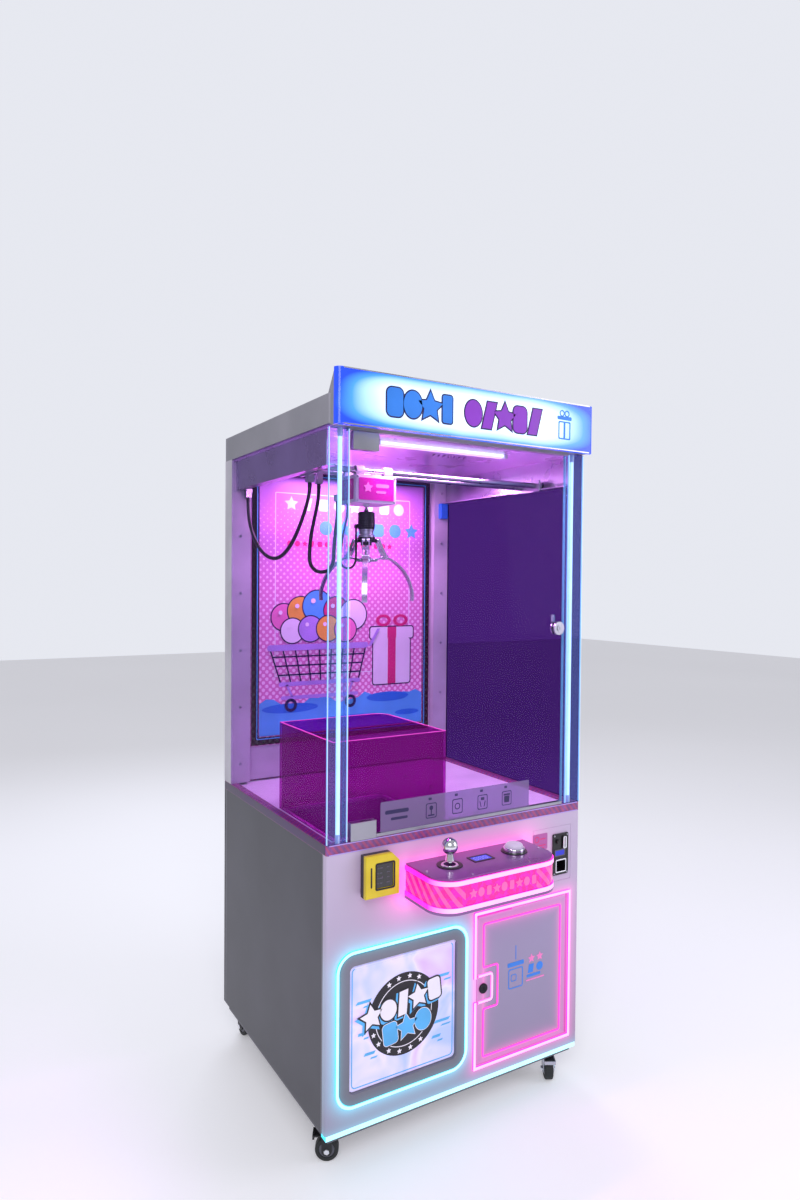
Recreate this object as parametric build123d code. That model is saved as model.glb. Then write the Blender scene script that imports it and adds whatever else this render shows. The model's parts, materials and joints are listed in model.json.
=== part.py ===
from build123d import *
from math import atan2, degrees, hypot, radians, tan
import os

os.makedirs("parts", exist_ok=True)

# A claw crane machine. Millimetres, +Z up, +Y from the player to the back wall, +X to the player's right.
# The origin is on the floor, under the centre of the machine's outline.

# ---------------------------------------------------------------- driving dimensions
CAB_W = 820.0        # cabinet width
CAB_D = 750.0        # cabinet depth, without the control shelf and the sign
SHELF_OUT = 163.0    # how far the control shelf stands out of the front
CASTER_H = 82.0      # floor to the top of the caster plates
FRAME_H = 28.0       # base frame under the panels
PANEL_H = 687.0      # lower cabinet panels
TRIM_H = 25.0        # ledge between the lower cabinet and the glass
GLASS_H = 1016.0     # glass between the ledge and the roof
ROOF_H = 72.0        # roof box
BOARD_T = 18.0       # cabinet board
GLASS_T = 5.0        # fixed glass
DOOR_T = 8.0         # glass door
POST_W = 56.0        # clear front corner posts
REAR_POST_W = 63.0   # rear corner posts
SHEET_T = 2.0        # sheet metal
FIT = 0.05           # radial clearance of a running pin
GAP = 0.4            # clearance between two moving pieces

PRIZE_W = 374.0      # prize door frame, outside
PRIZE_H = 373.0
PRIZE_X = 37.0       # prize door frame from the left edge
PRIZE_Z = 58.0       # and above the panels' lower edge
PRIZE_BAND = 27.0    # width of the frame's face
SERVICE_W = 322.0    # service door
SERVICE_H = 407.0
SERVICE_X = 44.0     # service door from the right edge
SERVICE_Z = 40.0
DOOR_GAP = 2.0       # gap all round the service door
SHELF_W = 391.0      # control shelf
SHELF_H = 88.0
SHELF_SHIFT = 7.0    # shelf centre, right of the cabinet's centre
SHELF_TOP = 54.0     # shelf's top face below the ledge
COIN_W = 58.0        # coin plate
COIN_H = 119.0
COIN_X = 44.0        # coin plate from the right edge
COIN_TOP = 58.0      # and its top below the ledge
CARD_W = 95.0        # card reader
CARD_H = 105.0
CARD_OUT = 35.0
CARD_X = 90.0
CARD_TOP = 7.0
CARD_CUT = 20.0      # cut corner
SCREEN_W = 48.0      # card reader's screen
SCREEN_H = 60.0
SCREEN_X = 30.0
SCREEN_Z = 22.0
SCREEN_DEEP = 3.0

DECK_T = 10.0        # prize deck board
DECK_DROP = 8.0      # deck's top below the ledge
GUARD_W = 340.0      # chute guard
GUARD_D = 340.0
GUARD_H = 246.0
GUARD_X = 40.0
GUARD_Y = 50.0
GUARD_T = 5.0
HOME_X = 172.0       # claw axis from the guard's left side, at home
HOME_Y = 150.0       # and from the guard's front
TROLLEY_W = 125.0
TROLLEY_D = 110.0
TROLLEY_H = 73.0
TROLLEY_DROP = 167.0  # trolley's lower face below the roof
BRIDGE_TUBE = 16.0
BRIDGE_SPREAD = 70.0  # between the two bridge tubes
COIL_D = 45.0
FINGER_T = 4.0
FINGER_W = 14.0
WHEEL_D = 60.0
WHEEL_W = 24.0
CASTER_INSET = 60.0
TRAIL = 22.0
CASTER_TURN = {"front_left": 150, "front_right": 239, "rear_left": 95, "rear_right": 60}
SIGN_H = 134.0
SIGN_OUT = 40.0
SIGN_T = 16.0

# ---------------------------------------------------------------- worked-out planes
FRONT = -(CAB_D + SHELF_OUT) / 2 + SHELF_OUT
BACK = FRONT + CAB_D
LEFT = -CAB_W / 2
RIGHT = CAB_W / 2
Z_CAB = CASTER_H + FRAME_H
Z_TRIM = Z_CAB + PANEL_H
Z_GLASS = Z_TRIM + TRIM_H
Z_ROOF = Z_GLASS + GLASS_H
Z_TOP = Z_ROOF + ROOF_H
Z_DECK = Z_GLASS - DECK_DROP


# ---------------------------------------------------------------- helpers
def block(x0, x1, y0, y1, z0, z1):
    """A box from its six faces."""
    return Pos((x0 + x1) / 2, (y0 + y1) / 2, (z0 + z1) / 2) * Box(x1 - x0, y1 - y0, z1 - z0)


def rod(start, end, diameter):
    """A round bar between two points."""
    line = Vector(*end) - Vector(*start)
    plane = Plane(origin=start, z_dir=line.normalized())
    return extrude(plane * Circle(diameter / 2), line.length)


def rod_z(x, y, z0, z1, diameter):
    return rod((x, y, z0), (x, y, z1), diameter)


def rod_y(x, z, y0, y1, diameter):
    return rod((x, y0, z), (x, y1, z), diameter)


def rod_x(y, z, x0, x1, diameter):
    return rod((x0, y, z), (x1, y, z), diameter)


def radial_rod(r, z, y0, y1, diameter):
    """A pin along Y, at a distance r from a turning axis."""
    return rod((r, y0, z), (r, y1, z), diameter)


def slab_y(x0, x1, z0, z1, radius, y0, y1):
    """A plate facing the player, with rounded corners."""
    face = Plane.XZ * Pos((x0 + x1) / 2, (z0 + z1) / 2) * RectangleRounded(x1 - x0, z1 - z0, radius)
    return Pos(0, y1, 0) * extrude(face, y1 - y0)


def ring_y(x0, x1, z0, z1, radius, band, y0, y1):
    """A rounded square ring facing the player; band is its width, inwards."""
    outer = slab_y(x0, x1, z0, z1, radius, y0, y1)
    hole = slab_y(x0 + band, x1 - band, z0 + band, z1 - band, max(radius - band, 1), y0 - 1, y1 + 1)
    return outer - hole


def profile_x(points, x0, x1):
    """A (y, z) outline drawn out along X."""
    face = Plane.YZ * make_face(Polyline(*points, close=True))
    return Pos(x0, 0, 0) * extrude(face, x1 - x0, dir=(1, 0, 0))


def cord_tube(points, diameter, name):
    """A tube along straight runs joined by arcs as large as the runs allow."""
    corners = [Vector(*p) for p in points]
    radii = []
    for a, b, c in zip(corners, corners[1:], corners[2:]):
        turn = radians((b - a).get_angle(c - b))
        radii.append(0.45 * min((b - a).length, (c - b).length) / tan(turn / 2))
    print(name, "radii", [round(r) for r in radii])
    path = FilletPolyline(*corners, radius=radii)
    start = Plane(origin=corners[0], z_dir=(corners[1] - corners[0]).normalized())
    return sweep(start * Circle(diameter / 2), path=path)


def union(pieces):
    """Fuse a list of solids."""
    whole = pieces[0]
    for piece in pieces[1:]:
        whole = whole + piece
    return whole


def save(name, pieces):
    """Write one sub-part; several pieces stay separate solids in its file."""
    solids = [s for piece in pieces for s in piece.solids()]
    shape = solids[0] if len(solids) == 1 else Compound(children=solids)
    export_step(shape, "parts/" + name + ".step")


# ---------------------------------------------------------------- base frame, casters
RAIL_W = 40.0
LIGHT_D = 10.0       # depth of the light strip under the front edge
LIGHT_H = 15.0
FRAME_INSET = LIGHT_D + 4
PLATE = 90.0         # caster plate
PLATE_T = 4.0
SWIVEL_X = CAB_W / 2 - CASTER_INSET
SWIVEL_Y = CAB_D / 2 - CASTER_INSET
MID_Y = (FRONT + BACK) / 2


def base_frame():
    x = CAB_W / 2 - FRAME_INSET
    y0 = FRONT + FRAME_INSET
    y1 = BACK - FRAME_INSET
    ring = block(-x, x, y0, y1, CASTER_H, Z_CAB)
    ring -= block(-x + RAIL_W, x - RAIL_W, y0 + RAIL_W, y1 - RAIL_W, CASTER_H - 1, Z_CAB + 1)
    pieces = [ring]
    for sx in (-1, 1):
        for sy in (-1, 1):
            cx = sx * SWIVEL_X
            cy = MID_Y + sy * SWIVEL_Y
            pieces.append(block(cx - PLATE / 2, cx + PLATE / 2, cy - PLATE / 2, cy + PLATE / 2,
                                CASTER_H, CASTER_H + PLATE_T))
    pieces.append(block(-x, x, MID_Y - RAIL_W / 2, MID_Y + RAIL_W / 2, CASTER_H, Z_CAB))
    inner = CAB_W / 2 - BOARD_T
    pieces.append(block(-inner, inner, FRONT + BOARD_T, BACK - BOARD_T, Z_CAB, Z_CAB + 3))
    return union(pieces)


BEARING_H = 8.0
CROWN_T = 4.0
FORK_T = 3.0
AXLE_D = 8.0
KINGPIN_D = 10.0
KINGPIN_HEAD = 3.0
BOSS_D = 26.0        # fork leg round the axle
RACE_D = 44.0
PLATE_EDGE = 8.0     # frame's pad beyond the caster's plate
PEDAL_REACH = 36.0   # brake lever's end beyond the axle
TREAD_H = 10.0
HUB_D = 18.0
TREAD_R = 4.0
HUB_DISH = 3.0
WHEEL_R = WHEEL_D / 2
CROWN_Z = CASTER_H - PLATE_T - BEARING_H - GAP


def caster_axis(corner):
    """The swivel's x and y."""
    sx = 1 if "right" in corner else -1
    sy = 1 if "rear" in corner else -1
    return sx * SWIVEL_X, MID_Y + sy * SWIVEL_Y


def caster_plate(corner):
    """The fixed top plate with its kingpin."""
    x, y = caster_axis(corner)
    half = PLATE / 2 - PLATE_EDGE
    plate = block(x - half, x + half, y - half, y + half, CASTER_H - PLATE_T, CASTER_H)
    race = rod_z(x, y, CASTER_H - PLATE_T - BEARING_H, CASTER_H - PLATE_T, RACE_D - 4)
    crown_z0 = CROWN_Z - CROWN_T
    pin = rod_z(x, y, crown_z0 - KINGPIN_HEAD, CASTER_H - PLATE_T, KINGPIN_D)
    head = rod_z(x, y, crown_z0 - GAP - KINGPIN_HEAD, crown_z0 - GAP, KINGPIN_D + 8)
    return union([plate, race, pin, head])


def caster_fork(corner):
    """Swivel crown, two fork legs and the brake lever, with the wheel trailing along +X before it turns."""
    half = WHEEL_W / 2 + GAP + 1
    crown = rod_z(0, 0, CROWN_Z - CROWN_T, CROWN_Z, RACE_D)
    crown += block(-8, TRAIL + 8, -half - FORK_T, half + FORK_T, CROWN_Z - CROWN_T, CROWN_Z)
    leg_top = CROWN_Z - CROWN_T
    legs = []
    for side in (-1, 1):
        y0 = side * half
        y1 = side * (half + FORK_T)
        leg = block(TRAIL - BOSS_D / 2, TRAIL + BOSS_D / 2, min(y0, y1), max(y0, y1), WHEEL_R, leg_top + 1)
        leg += radial_rod(TRAIL, WHEEL_R, y0, y1, BOSS_D)
        leg -= radial_rod(TRAIL, WHEEL_R, -WHEEL_D, WHEEL_D, AXLE_D + 2 * FIT)
        legs.append(leg)
    end = TRAIL + PEDAL_REACH
    pedal = block(TRAIL + 6, end, -half - FORK_T, half + FORK_T, leg_top, CROWN_Z)
    pedal += block(end - 5, end, -half - FORK_T, half + FORK_T, leg_top - 6, CROWN_Z)
    fork = union([crown, pedal] + legs)
    fork -= rod_z(0, 0, 0, CASTER_H, KINGPIN_D + 2 * FIT)
    x, y = caster_axis(corner)
    return Pos(x, y, 0) * Rot(0, 0, CASTER_TURN[corner]) * fork


def caster_wheel(corner):
    """Tread, hub and axle in one turning piece."""
    half = WHEEL_W / 2
    wheel = radial_rod(TRAIL, WHEEL_R, -half, half, WHEEL_D)
    wheel = fillet(wheel.edges().filter_by(GeomType.CIRCLE), TREAD_R)
    for side in (-1, 1):
        dish = side * (half - HUB_DISH)
        wheel -= radial_rod(TRAIL, WHEEL_R, dish, side * (half + 1), WHEEL_D - 2 * TREAD_H)
    wheel += radial_rod(TRAIL, WHEEL_R, -half, half, HUB_D)
    reach = half + GAP + 1 + FORK_T + 1
    wheel += radial_rod(TRAIL, WHEEL_R, -reach, reach, AXLE_D)
    x, y = caster_axis(corner)
    return Pos(x, y, 0) * Rot(0, 0, CASTER_TURN[corner]) * wheel


# ---------------------------------------------------------------- lower cabinet
EDGE_R = 6.0
SLEEVE_T = 5.0
PRIZE_X0 = LEFT + PRIZE_X
PRIZE_X1 = PRIZE_X0 + PRIZE_W
PRIZE_Z0 = Z_CAB + PRIZE_Z
PRIZE_Z1 = PRIZE_Z0 + PRIZE_H
SERVICE_X1 = RIGHT - SERVICE_X
SERVICE_X0 = SERVICE_X1 - SERVICE_W
SERVICE_Z0 = Z_CAB + SERVICE_Z
SERVICE_Z1 = SERVICE_Z0 + SERVICE_H
SHELF_CX = SHELF_SHIFT
SHELF_Z1 = Z_TRIM - SHELF_TOP
SHELF_Z0 = SHELF_Z1 - SHELF_H
WIRING_W = 120.0     # opening between the shelf and the cabinet
WIRING_H = 40.0
WIRING_UP = 25.0     # above the shelf's underside
COIN_X1 = RIGHT - COIN_X
COIN_X0 = COIN_X1 - COIN_W
COIN_Z1 = Z_TRIM - COIN_TOP
COIN_Z0 = COIN_Z1 - COIN_H
COIN_LIP = 5.0
GROOVE_W = 1.5        # shallow groove round the coin plate and the note beside it
GROOVE_RIGHT = 13.0
GROOVE_LEFT = 72.0
GROOVE_DOWN = 19.0
GROOVE_UP = 22.0
HINGE_IN = 8.0       # service door pivot from the door's right edge
PIN_D = 6.0
SERVICE_T = 16.0
PIVOT_X = SERVICE_X1 - HINGE_IN
PIVOT_Y = FRONT + SERVICE_T / 2
FLAP_PIN_Z = PRIZE_Z1 - PRIZE_BAND - 8
FLAP_PIN_Y = FRONT + 4


def wiring_window(y0, y1):
    """The opening between the shelf and the cabinet, cut from both."""
    z0 = SHELF_Z0 + WIRING_UP
    return block(SHELF_CX - WIRING_W / 2, SHELF_CX + WIRING_W / 2, y0, y1, z0, z0 + WIRING_H)


def front_panel():
    board = block(LEFT, RIGHT, FRONT, FRONT + BOARD_T, Z_CAB, Z_TRIM)
    front_edges = board.edges().filter_by(Axis.Z).group_by(Axis.Y)[0]
    board = fillet(front_edges, EDGE_R)
    hole = PRIZE_BAND - SLEEVE_T
    board -= slab_y(PRIZE_X0 + hole, PRIZE_X1 - hole, PRIZE_Z0 + hole, PRIZE_Z1 - hole, 18,
                    FRONT - 1, FRONT + BOARD_T + 1)
    board -= block(SERVICE_X0 - DOOR_GAP, SERVICE_X1 + DOOR_GAP, FRONT - 1, FRONT + BOARD_T + 1,
                   SERVICE_Z0 - DOOR_GAP, SERVICE_Z1 + DOOR_GAP)
    board -= block(COIN_X0 + COIN_LIP, COIN_X1 - COIN_LIP, FRONT - 1, FRONT + BOARD_T + 1,
                   COIN_Z0 + COIN_LIP, COIN_Z1 - COIN_LIP)
    for z in (SERVICE_Z0 - DOOR_GAP - 10, SERVICE_Z1 + DOOR_GAP):
        board -= rod_z(PIVOT_X, PIVOT_Y, z, z + 10, PIN_D)
    board -= ring_y(COIN_X0 - GROOVE_LEFT, COIN_X1 + GROOVE_RIGHT, COIN_Z0 - GROOVE_DOWN,
                    COIN_Z1 + GROOVE_UP, 4, GROOVE_W, FRONT - 1, FRONT + 1)
    board -= wiring_window(FRONT - 1, FRONT + BOARD_T + 1)
    return board


def side_panel(side):
    x0 = LEFT if side < 0 else RIGHT - BOARD_T
    return block(x0, x0 + BOARD_T, FRONT + BOARD_T, BACK - BOARD_T, Z_CAB, Z_TRIM)


VENT_W = 8.0
VENT_L = 220.0
VENT_COUNT = 9
VENT_TOP = 120.0     # highest slot below the ledge
INLET_X = 110.0      # mains inlet from the right edge
INLET_Z = 70.0       # and above the panels' lower edge
INLET_W = 48.0
INLET_H = 28.0


def lower_rear_panel():
    """Back board with vent slots and the mains inlet's housing."""
    board = block(LEFT, RIGHT, BACK - BOARD_T, BACK, Z_CAB, Z_TRIM)
    board = fillet(board.edges().filter_by(Axis.Z).group_by(Axis.Y)[-1], EDGE_R)
    for i in range(VENT_COUNT):
        z = Z_TRIM - VENT_TOP - 2 * VENT_W * i
        board -= block(-VENT_L / 2, VENT_L / 2, BACK - BOARD_T - 1, BACK + 1, z, z + VENT_W)
    x = RIGHT - INLET_X
    z = Z_CAB + INLET_Z
    half_w = INLET_W / 2
    half_h = INLET_H / 2
    board -= block(x - half_w, x + half_w, BACK - BOARD_T - 1, BACK + 1, z - half_h, z + half_h)
    inlet = block(x - half_w, x + half_w, BACK - BOARD_T - 8, BACK, z - half_h, z + half_h)
    inlet -= block(x - half_w / 2, x + half_w / 2, BACK - BOARD_T, BACK + 1, z - 8, z + 8)
    for dx in (-7, 0, 7):
        inlet += block(x + dx - 1, x + dx + 1, BACK - BOARD_T - 1, BACK - 4, z - 2.5, z + 2.5)
    return board, inlet


TRIM_BAND = 24.0
RABBET = 12.0


def ledge_trim():
    """The ledge that carries the glass, with a step that carries the deck."""
    ledge = block(LEFT, RIGHT, FRONT, BACK, Z_TRIM, Z_GLASS)
    ledge = fillet(ledge.edges().filter_by(Axis.Z), EDGE_R)
    x = CAB_W / 2 - TRIM_BAND
    ledge -= block(-x, x, FRONT + TRIM_BAND, BACK - TRIM_BAND, Z_DECK - DECK_T, Z_GLASS + 1)
    ledge -= block(-x + RABBET, x - RABBET, FRONT + TRIM_BAND + RABBET, BACK - TRIM_BAND - RABBET,
                   Z_TRIM - 1, Z_GLASS)
    return ledge


CHUTE_IN = 9.0       # chute opening inside the guard's walls
GUARD_X0 = LEFT + GUARD_X
GUARD_Y0 = FRONT + GUARD_Y
CHUTE_X0 = GUARD_X0 + GUARD_T + CHUTE_IN
CHUTE_X1 = GUARD_X0 + GUARD_W - GUARD_T - CHUTE_IN
CHUTE_Y0 = GUARD_Y0 + GUARD_T + CHUTE_IN
CHUTE_Y1 = GUARD_Y0 + GUARD_D - GUARD_T - CHUTE_IN


def prize_deck():
    x = CAB_W / 2 - TRIM_BAND - 0.5
    deck = block(-x, x, FRONT + TRIM_BAND + 0.5, BACK - TRIM_BAND - 0.5, Z_DECK - DECK_T, Z_DECK)
    deck -= block(CHUTE_X0, CHUTE_X1, CHUTE_Y0, CHUTE_Y1, Z_DECK - DECK_T - 1, Z_DECK + 1)
    return deck


POCKET_X0 = PRIZE_X0 + PRIZE_BAND - 18
POCKET_X1 = PRIZE_X1 - PRIZE_BAND + 8
POCKET_TOP = PRIZE_Z1 + 60
POCKET_RISE = 80.0   # slope of the pocket's floor, front to back


def chute_outline(inset):
    """(y, z) outline of the prize chute's side, moved inwards by inset."""
    floor = PRIZE_Z0 + PRIZE_BAND - 10
    y0 = FRONT + BOARD_T
    y1 = CHUTE_Y1 + 6
    return [(y0 - (1 if inset else 0), floor + inset),
            (y1 - inset, floor + POCKET_RISE + inset),
            (y1 - inset, Z_DECK - DECK_T + (1 if inset else 0)),
            (CHUTE_Y0 - 6 + inset, Z_DECK - DECK_T + (1 if inset else 0)),
            (CHUTE_Y0 - 6 + inset, POCKET_TOP - inset),
            (y0 - (1 if inset else 0), POCKET_TOP - inset)]


def chute_duct():
    outer = profile_x(chute_outline(0), POCKET_X0, POCKET_X1)
    inner = profile_x(chute_outline(SHEET_T), POCKET_X0 + SHEET_T, POCKET_X1 - SHEET_T)
    return outer - inner


def prize_door_frame():
    face = ring_y(PRIZE_X0, PRIZE_X1, PRIZE_Z0, PRIZE_Z1, 40, PRIZE_BAND, FRONT - 6, FRONT)
    face = fillet(face.edges().group_by(Axis.Y)[0], 2)
    cut = PRIZE_BAND - SLEEVE_T
    sleeve = ring_y(PRIZE_X0 + cut, PRIZE_X1 - cut, PRIZE_Z0 + cut, PRIZE_Z1 - cut, 18, SLEEVE_T,
                    FRONT - 1, FRONT + BOARD_T)
    frame = face + sleeve
    frame -= rod_x(FLAP_PIN_Y, FLAP_PIN_Z, PRIZE_X0, PRIZE_X1, PIN_D + 2 * FIT)
    return frame


FLAP_T = 4.0
FLAP_GAP = 2.0


def prize_flap():
    """White flap that swings inwards on two stub pins near its top."""
    inset = PRIZE_BAND + FLAP_GAP
    x0 = PRIZE_X0 + inset
    x1 = PRIZE_X1 - inset
    flap = slab_y(x0, x1, PRIZE_Z0 + inset, PRIZE_Z1 - inset, 11,
                  FLAP_PIN_Y - FLAP_T / 2, FLAP_PIN_Y + FLAP_T / 2)
    bead = rod_x(FLAP_PIN_Y, FLAP_PIN_Z, x0 + 14, x1 - 14, PIN_D + 3)
    stubs = rod_x(FLAP_PIN_Y, FLAP_PIN_Z, x0 - FLAP_GAP - 3, x1 + FLAP_GAP + 3, PIN_D)
    return union([flap, bead, stubs])


LOCK_D = 22.0
LOCK_BODY = 18.0
LOCK_X = SERVICE_X0 + 20.5
LOCK_Z = SERVICE_Z0 + 206
CAM_T = 2.0


def service_door():
    door = block(SERVICE_X0, SERVICE_X1, FRONT, FRONT + SERVICE_T, SERVICE_Z0, SERVICE_Z1)
    door = fillet(door.edges().filter_by(Axis.Z).group_by(Axis.X)[-1], SERVICE_T / 2 - 0.2)
    for z in (SERVICE_Z0 - 1, SERVICE_Z1 - 12):
        door -= rod_z(PIVOT_X, PIVOT_Y, z, z + 13, PIN_D + 2 * FIT)
    door -= rod_y(LOCK_X, LOCK_Z, FRONT - 1, FRONT + SERVICE_T + 1, LOCK_BODY + 2 * FIT)
    lip = block(SERVICE_X0, SERVICE_X0 + 116, FRONT - 8, FRONT, SERVICE_Z1 - 5, SERVICE_Z1)
    return door + lip


def service_lock():
    """Cam lock: the cam stands upright at rest and reaches behind the front panel when it is locked."""
    head = rod_y(LOCK_X, LOCK_Z, FRONT - 5, FRONT - 0.1, LOCK_D + 5)
    head = chamfer(head.edges().group_by(Axis.Y)[0], 1.5)
    head -= block(LOCK_X - 1, LOCK_X + 1, FRONT - 6, FRONT - 2, LOCK_Z - 5, LOCK_Z + 5)
    barrel = rod_y(LOCK_X, LOCK_Z, FRONT - 1, FRONT + BOARD_T + 4, LOCK_BODY)
    cam_y = FRONT + BOARD_T + 1
    cam = block(LOCK_X - 8, LOCK_X + 8, cam_y, cam_y + CAM_T, LOCK_Z - 8, LOCK_Z + 34)
    return union([head, barrel, cam])


NEON_W = 8.0
NEON_T = 4.0
SHELF_R = 64.0
BASE_T = 7.0
LINE_H = 11.0
LINE_W = 9.0
TOP_T = 5.0
BAND_IN = 3.0
BAND_T = 4.0
CORE_IN = 22.0
LINE_Z0 = SHELF_Z0 + BASE_T
LINE_Z1 = SHELF_Z1 - TOP_T - LINE_H
STICK_X = SHELF_CX - SHELF_W / 2 + 92
STICK_Y = FRONT - 68
BUTTON_X = SHELF_CX + SHELF_W / 2 - 88
BUTTON_Y = FRONT - 65
GIMBAL_Z = SHELF_Z1 - TOP_T - 22
GIMBAL_W = 30.0


def shelf_shape(inset, z0, z1):
    """The control shelf's plan as a solid: square at the wall, rounded at both front corners."""
    x0 = SHELF_CX - SHELF_W / 2 + inset
    x1 = SHELF_CX + SHELF_W / 2 - inset
    y0 = FRONT - SHELF_OUT + inset
    solid = block(x0, x1, y0, FRONT, z0, z1)
    corners = [e for e in solid.edges().filter_by(Axis.Z) if e.center().Y < y0 + 1]
    return fillet(corners, SHELF_R - inset)


def control_shelf():
    """Bottom tray, inner core and the joystick's bracket."""
    tray = shelf_shape(0, SHELF_Z0, SHELF_Z0 + BASE_T)
    core_top = SHELF_Z1 - TOP_T
    core = shelf_shape(CORE_IN, SHELF_Z0 + BASE_T - 1, core_top)
    core -= shelf_shape(CORE_IN + SHEET_T, SHELF_Z0 + BASE_T, core_top + 1) & block(
        LEFT, RIGHT, FRONT - SHELF_OUT, FRONT - SHEET_T, 0, Z_TOP)
    core -= wiring_window(FRONT - 3, FRONT + 1)
    bracket = []
    for side in (-1, 1):
        x0 = STICK_X + side * (GIMBAL_W / 2 + GAP)
        x1 = x0 + side * 4
        cheek = block(min(x0, x1), max(x0, x1), STICK_Y - 12, STICK_Y + 12, GIMBAL_Z - 10, core_top)
        cheek -= rod_x(STICK_Y, GIMBAL_Z, STICK_X - 40, STICK_X + 40, 4 + 2 * FIT)
        bracket.append(cheek)
    return [tray + core] + bracket


def control_band():
    """Coloured see-through band round the shelf, between the two light lines."""
    z0 = LINE_Z0 + LINE_H
    band = shelf_shape(BAND_IN, z0, LINE_Z1) - shelf_shape(BAND_IN + BAND_T, z0 - 1, LINE_Z1 + 1)
    return band


def control_lines():
    lines = []
    for z0 in (LINE_Z0, LINE_Z1):
        lines.append(shelf_shape(0, z0, z0 + LINE_H) - shelf_shape(LINE_W, z0 - 1, z0 + LINE_H + 1))
    return lines


STICK_HOLE = 32.0
BUTTON_HOLE = 28.0
LCD_W = 61.0
LCD_D = 36.0
LCD_X = SHELF_CX - 3
LCD_Y = FRONT - 65


def control_top_plate():
    plate = shelf_shape(4, SHELF_Z1 - TOP_T, SHELF_Z1)
    plate -= rod_z(STICK_X, STICK_Y, SHELF_Z1 - 20, SHELF_Z1 + 20, STICK_HOLE)
    plate -= rod_z(BUTTON_X, BUTTON_Y, SHELF_Z1 - 20, SHELF_Z1 + 20, BUTTON_HOLE)
    plate -= block(LCD_X - LCD_W / 2, LCD_X + LCD_W / 2, LCD_Y - LCD_D / 2, LCD_Y + LCD_D / 2,
                   SHELF_Z1 - 2, SHELF_Z1 + 1)
    return plate


BEZEL_D = 58.0
BEZEL_H = 12.0
CAP_D = 48.0
CAP_STEM = 19.0
TRAVEL = 4.0


def control_collars():
    """The joystick's ring and the big button's bezel."""
    ring = rod_z(STICK_X, STICK_Y, SHELF_Z1, SHELF_Z1 + 3, 46)
    ring = chamfer(ring.edges().group_by(Axis.Z)[-1], 1.5)
    ring -= rod_z(STICK_X, STICK_Y, SHELF_Z1 - 1, SHELF_Z1 + 4, STICK_HOLE)
    bezel = rod_z(BUTTON_X, BUTTON_Y, SHELF_Z1, SHELF_Z1 + BEZEL_H, BEZEL_D)
    bezel = fillet(bezel.edges().group_by(Axis.Z)[-1], 3)
    bezel -= rod_z(BUTTON_X, BUTTON_Y, SHELF_Z1 + 3, SHELF_Z1 + BEZEL_H + 1, CAP_D + 2 * GAP)
    bezel += rod_z(BUTTON_X, BUTTON_Y, SHELF_Z1 - TOP_T - 12, SHELF_Z1 + 1, BUTTON_HOLE)
    bezel -= rod_z(BUTTON_X, BUTTON_Y, SHELF_Z1 - 30, SHELF_Z1 + 5, CAP_STEM + 2 * GAP)
    return [ring, bezel]


def push_button():
    top = SHELF_Z1 + BEZEL_H + 10
    skirt = SHELF_Z1 + 3 + TRAVEL + 0.5
    cap = rod_z(BUTTON_X, BUTTON_Y, skirt, top, CAP_D)
    cap = fillet(cap.edges().group_by(Axis.Z)[-1], 8)
    stem = rod_z(BUTTON_X, BUTTON_Y, SHELF_Z1 - TOP_T - 14, skirt + 1, CAP_STEM)
    return cap + stem


BALL_D = 42.0
BALL_UP = 49.0       # ball's centre above the top plate
STICK_D = 10.0


def joystick_gimbal():
    """Square ring that rocks front and back in the bracket; the stick rocks sideways in it."""
    half = GIMBAL_W / 2
    ring = block(STICK_X - half, STICK_X + half, STICK_Y - half, STICK_Y + half, GIMBAL_Z - 4, GIMBAL_Z + 4)
    ring -= block(STICK_X - half + 6, STICK_X + half - 6, STICK_Y - half + 6, STICK_Y + half - 6,
                  GIMBAL_Z - 5, GIMBAL_Z + 5)
    ring -= rod_y(STICK_X, GIMBAL_Z, STICK_Y - 40, STICK_Y + 40, 4 + 2 * FIT)
    for side in (-1, 1):
        ring += rod_x(STICK_Y, GIMBAL_Z, STICK_X + side * (half - 3), STICK_X + side * (half + 4), 4)
    return ring


def joystick_stick():
    ball = Pos(STICK_X, STICK_Y, SHELF_Z1 + BALL_UP) * Sphere(BALL_D / 2)
    shaft = rod_z(STICK_X, STICK_Y, GIMBAL_Z - 4, SHELF_Z1 + BALL_UP, STICK_D)
    collar = rod_z(STICK_X, STICK_Y, SHELF_Z1 + BALL_UP - BALL_D / 2 - 6, SHELF_Z1 + BALL_UP, 16)
    pin = rod_y(STICK_X, GIMBAL_Z, STICK_Y - GIMBAL_W / 2, STICK_Y + GIMBAL_W / 2, 4)
    return union([ball, shaft, collar, pin])


# ---------------------------------------------------------------- coin mechanism, card reader
RETURN_D = 13.0
RETURN_X = COIN_X0 + 17
RETURN_Z = COIN_Z1 - 22
RETURN_TRAVEL = 5.0


def coin_mech():
    """Front plate with the slot, the coin path's body and the return cup."""
    plate = slab_y(COIN_X0, COIN_X1, COIN_Z0, COIN_Z1, 4, FRONT - 4, FRONT)
    body = block(COIN_X0 + COIN_LIP + 0.5, COIN_X1 - COIN_LIP - 0.5, FRONT - 1, FRONT + 75,
                 COIN_Z0 + COIN_LIP + 0.5, COIN_Z1 - COIN_LIP - 0.5)
    mech = plate + body
    slot_x = COIN_X1 - 17
    mech += slab_y(slot_x - 7, slot_x + 7, COIN_Z1 - 44, COIN_Z1 - 8, 3, FRONT - 8, FRONT - 3)
    mech -= block(slot_x - 1.5, slot_x + 1.5, FRONT - 9, FRONT + 60, COIN_Z1 - 41, COIN_Z1 - 11)
    mech -= block(COIN_X0 + 12, COIN_X1 - 12, FRONT - 9, FRONT + 28, COIN_Z0 + 10, COIN_Z0 + 42)
    mech -= rod_y(RETURN_X, RETURN_Z, FRONT - 9, FRONT + 30, RETURN_D + 2 * GAP)
    return mech


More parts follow.
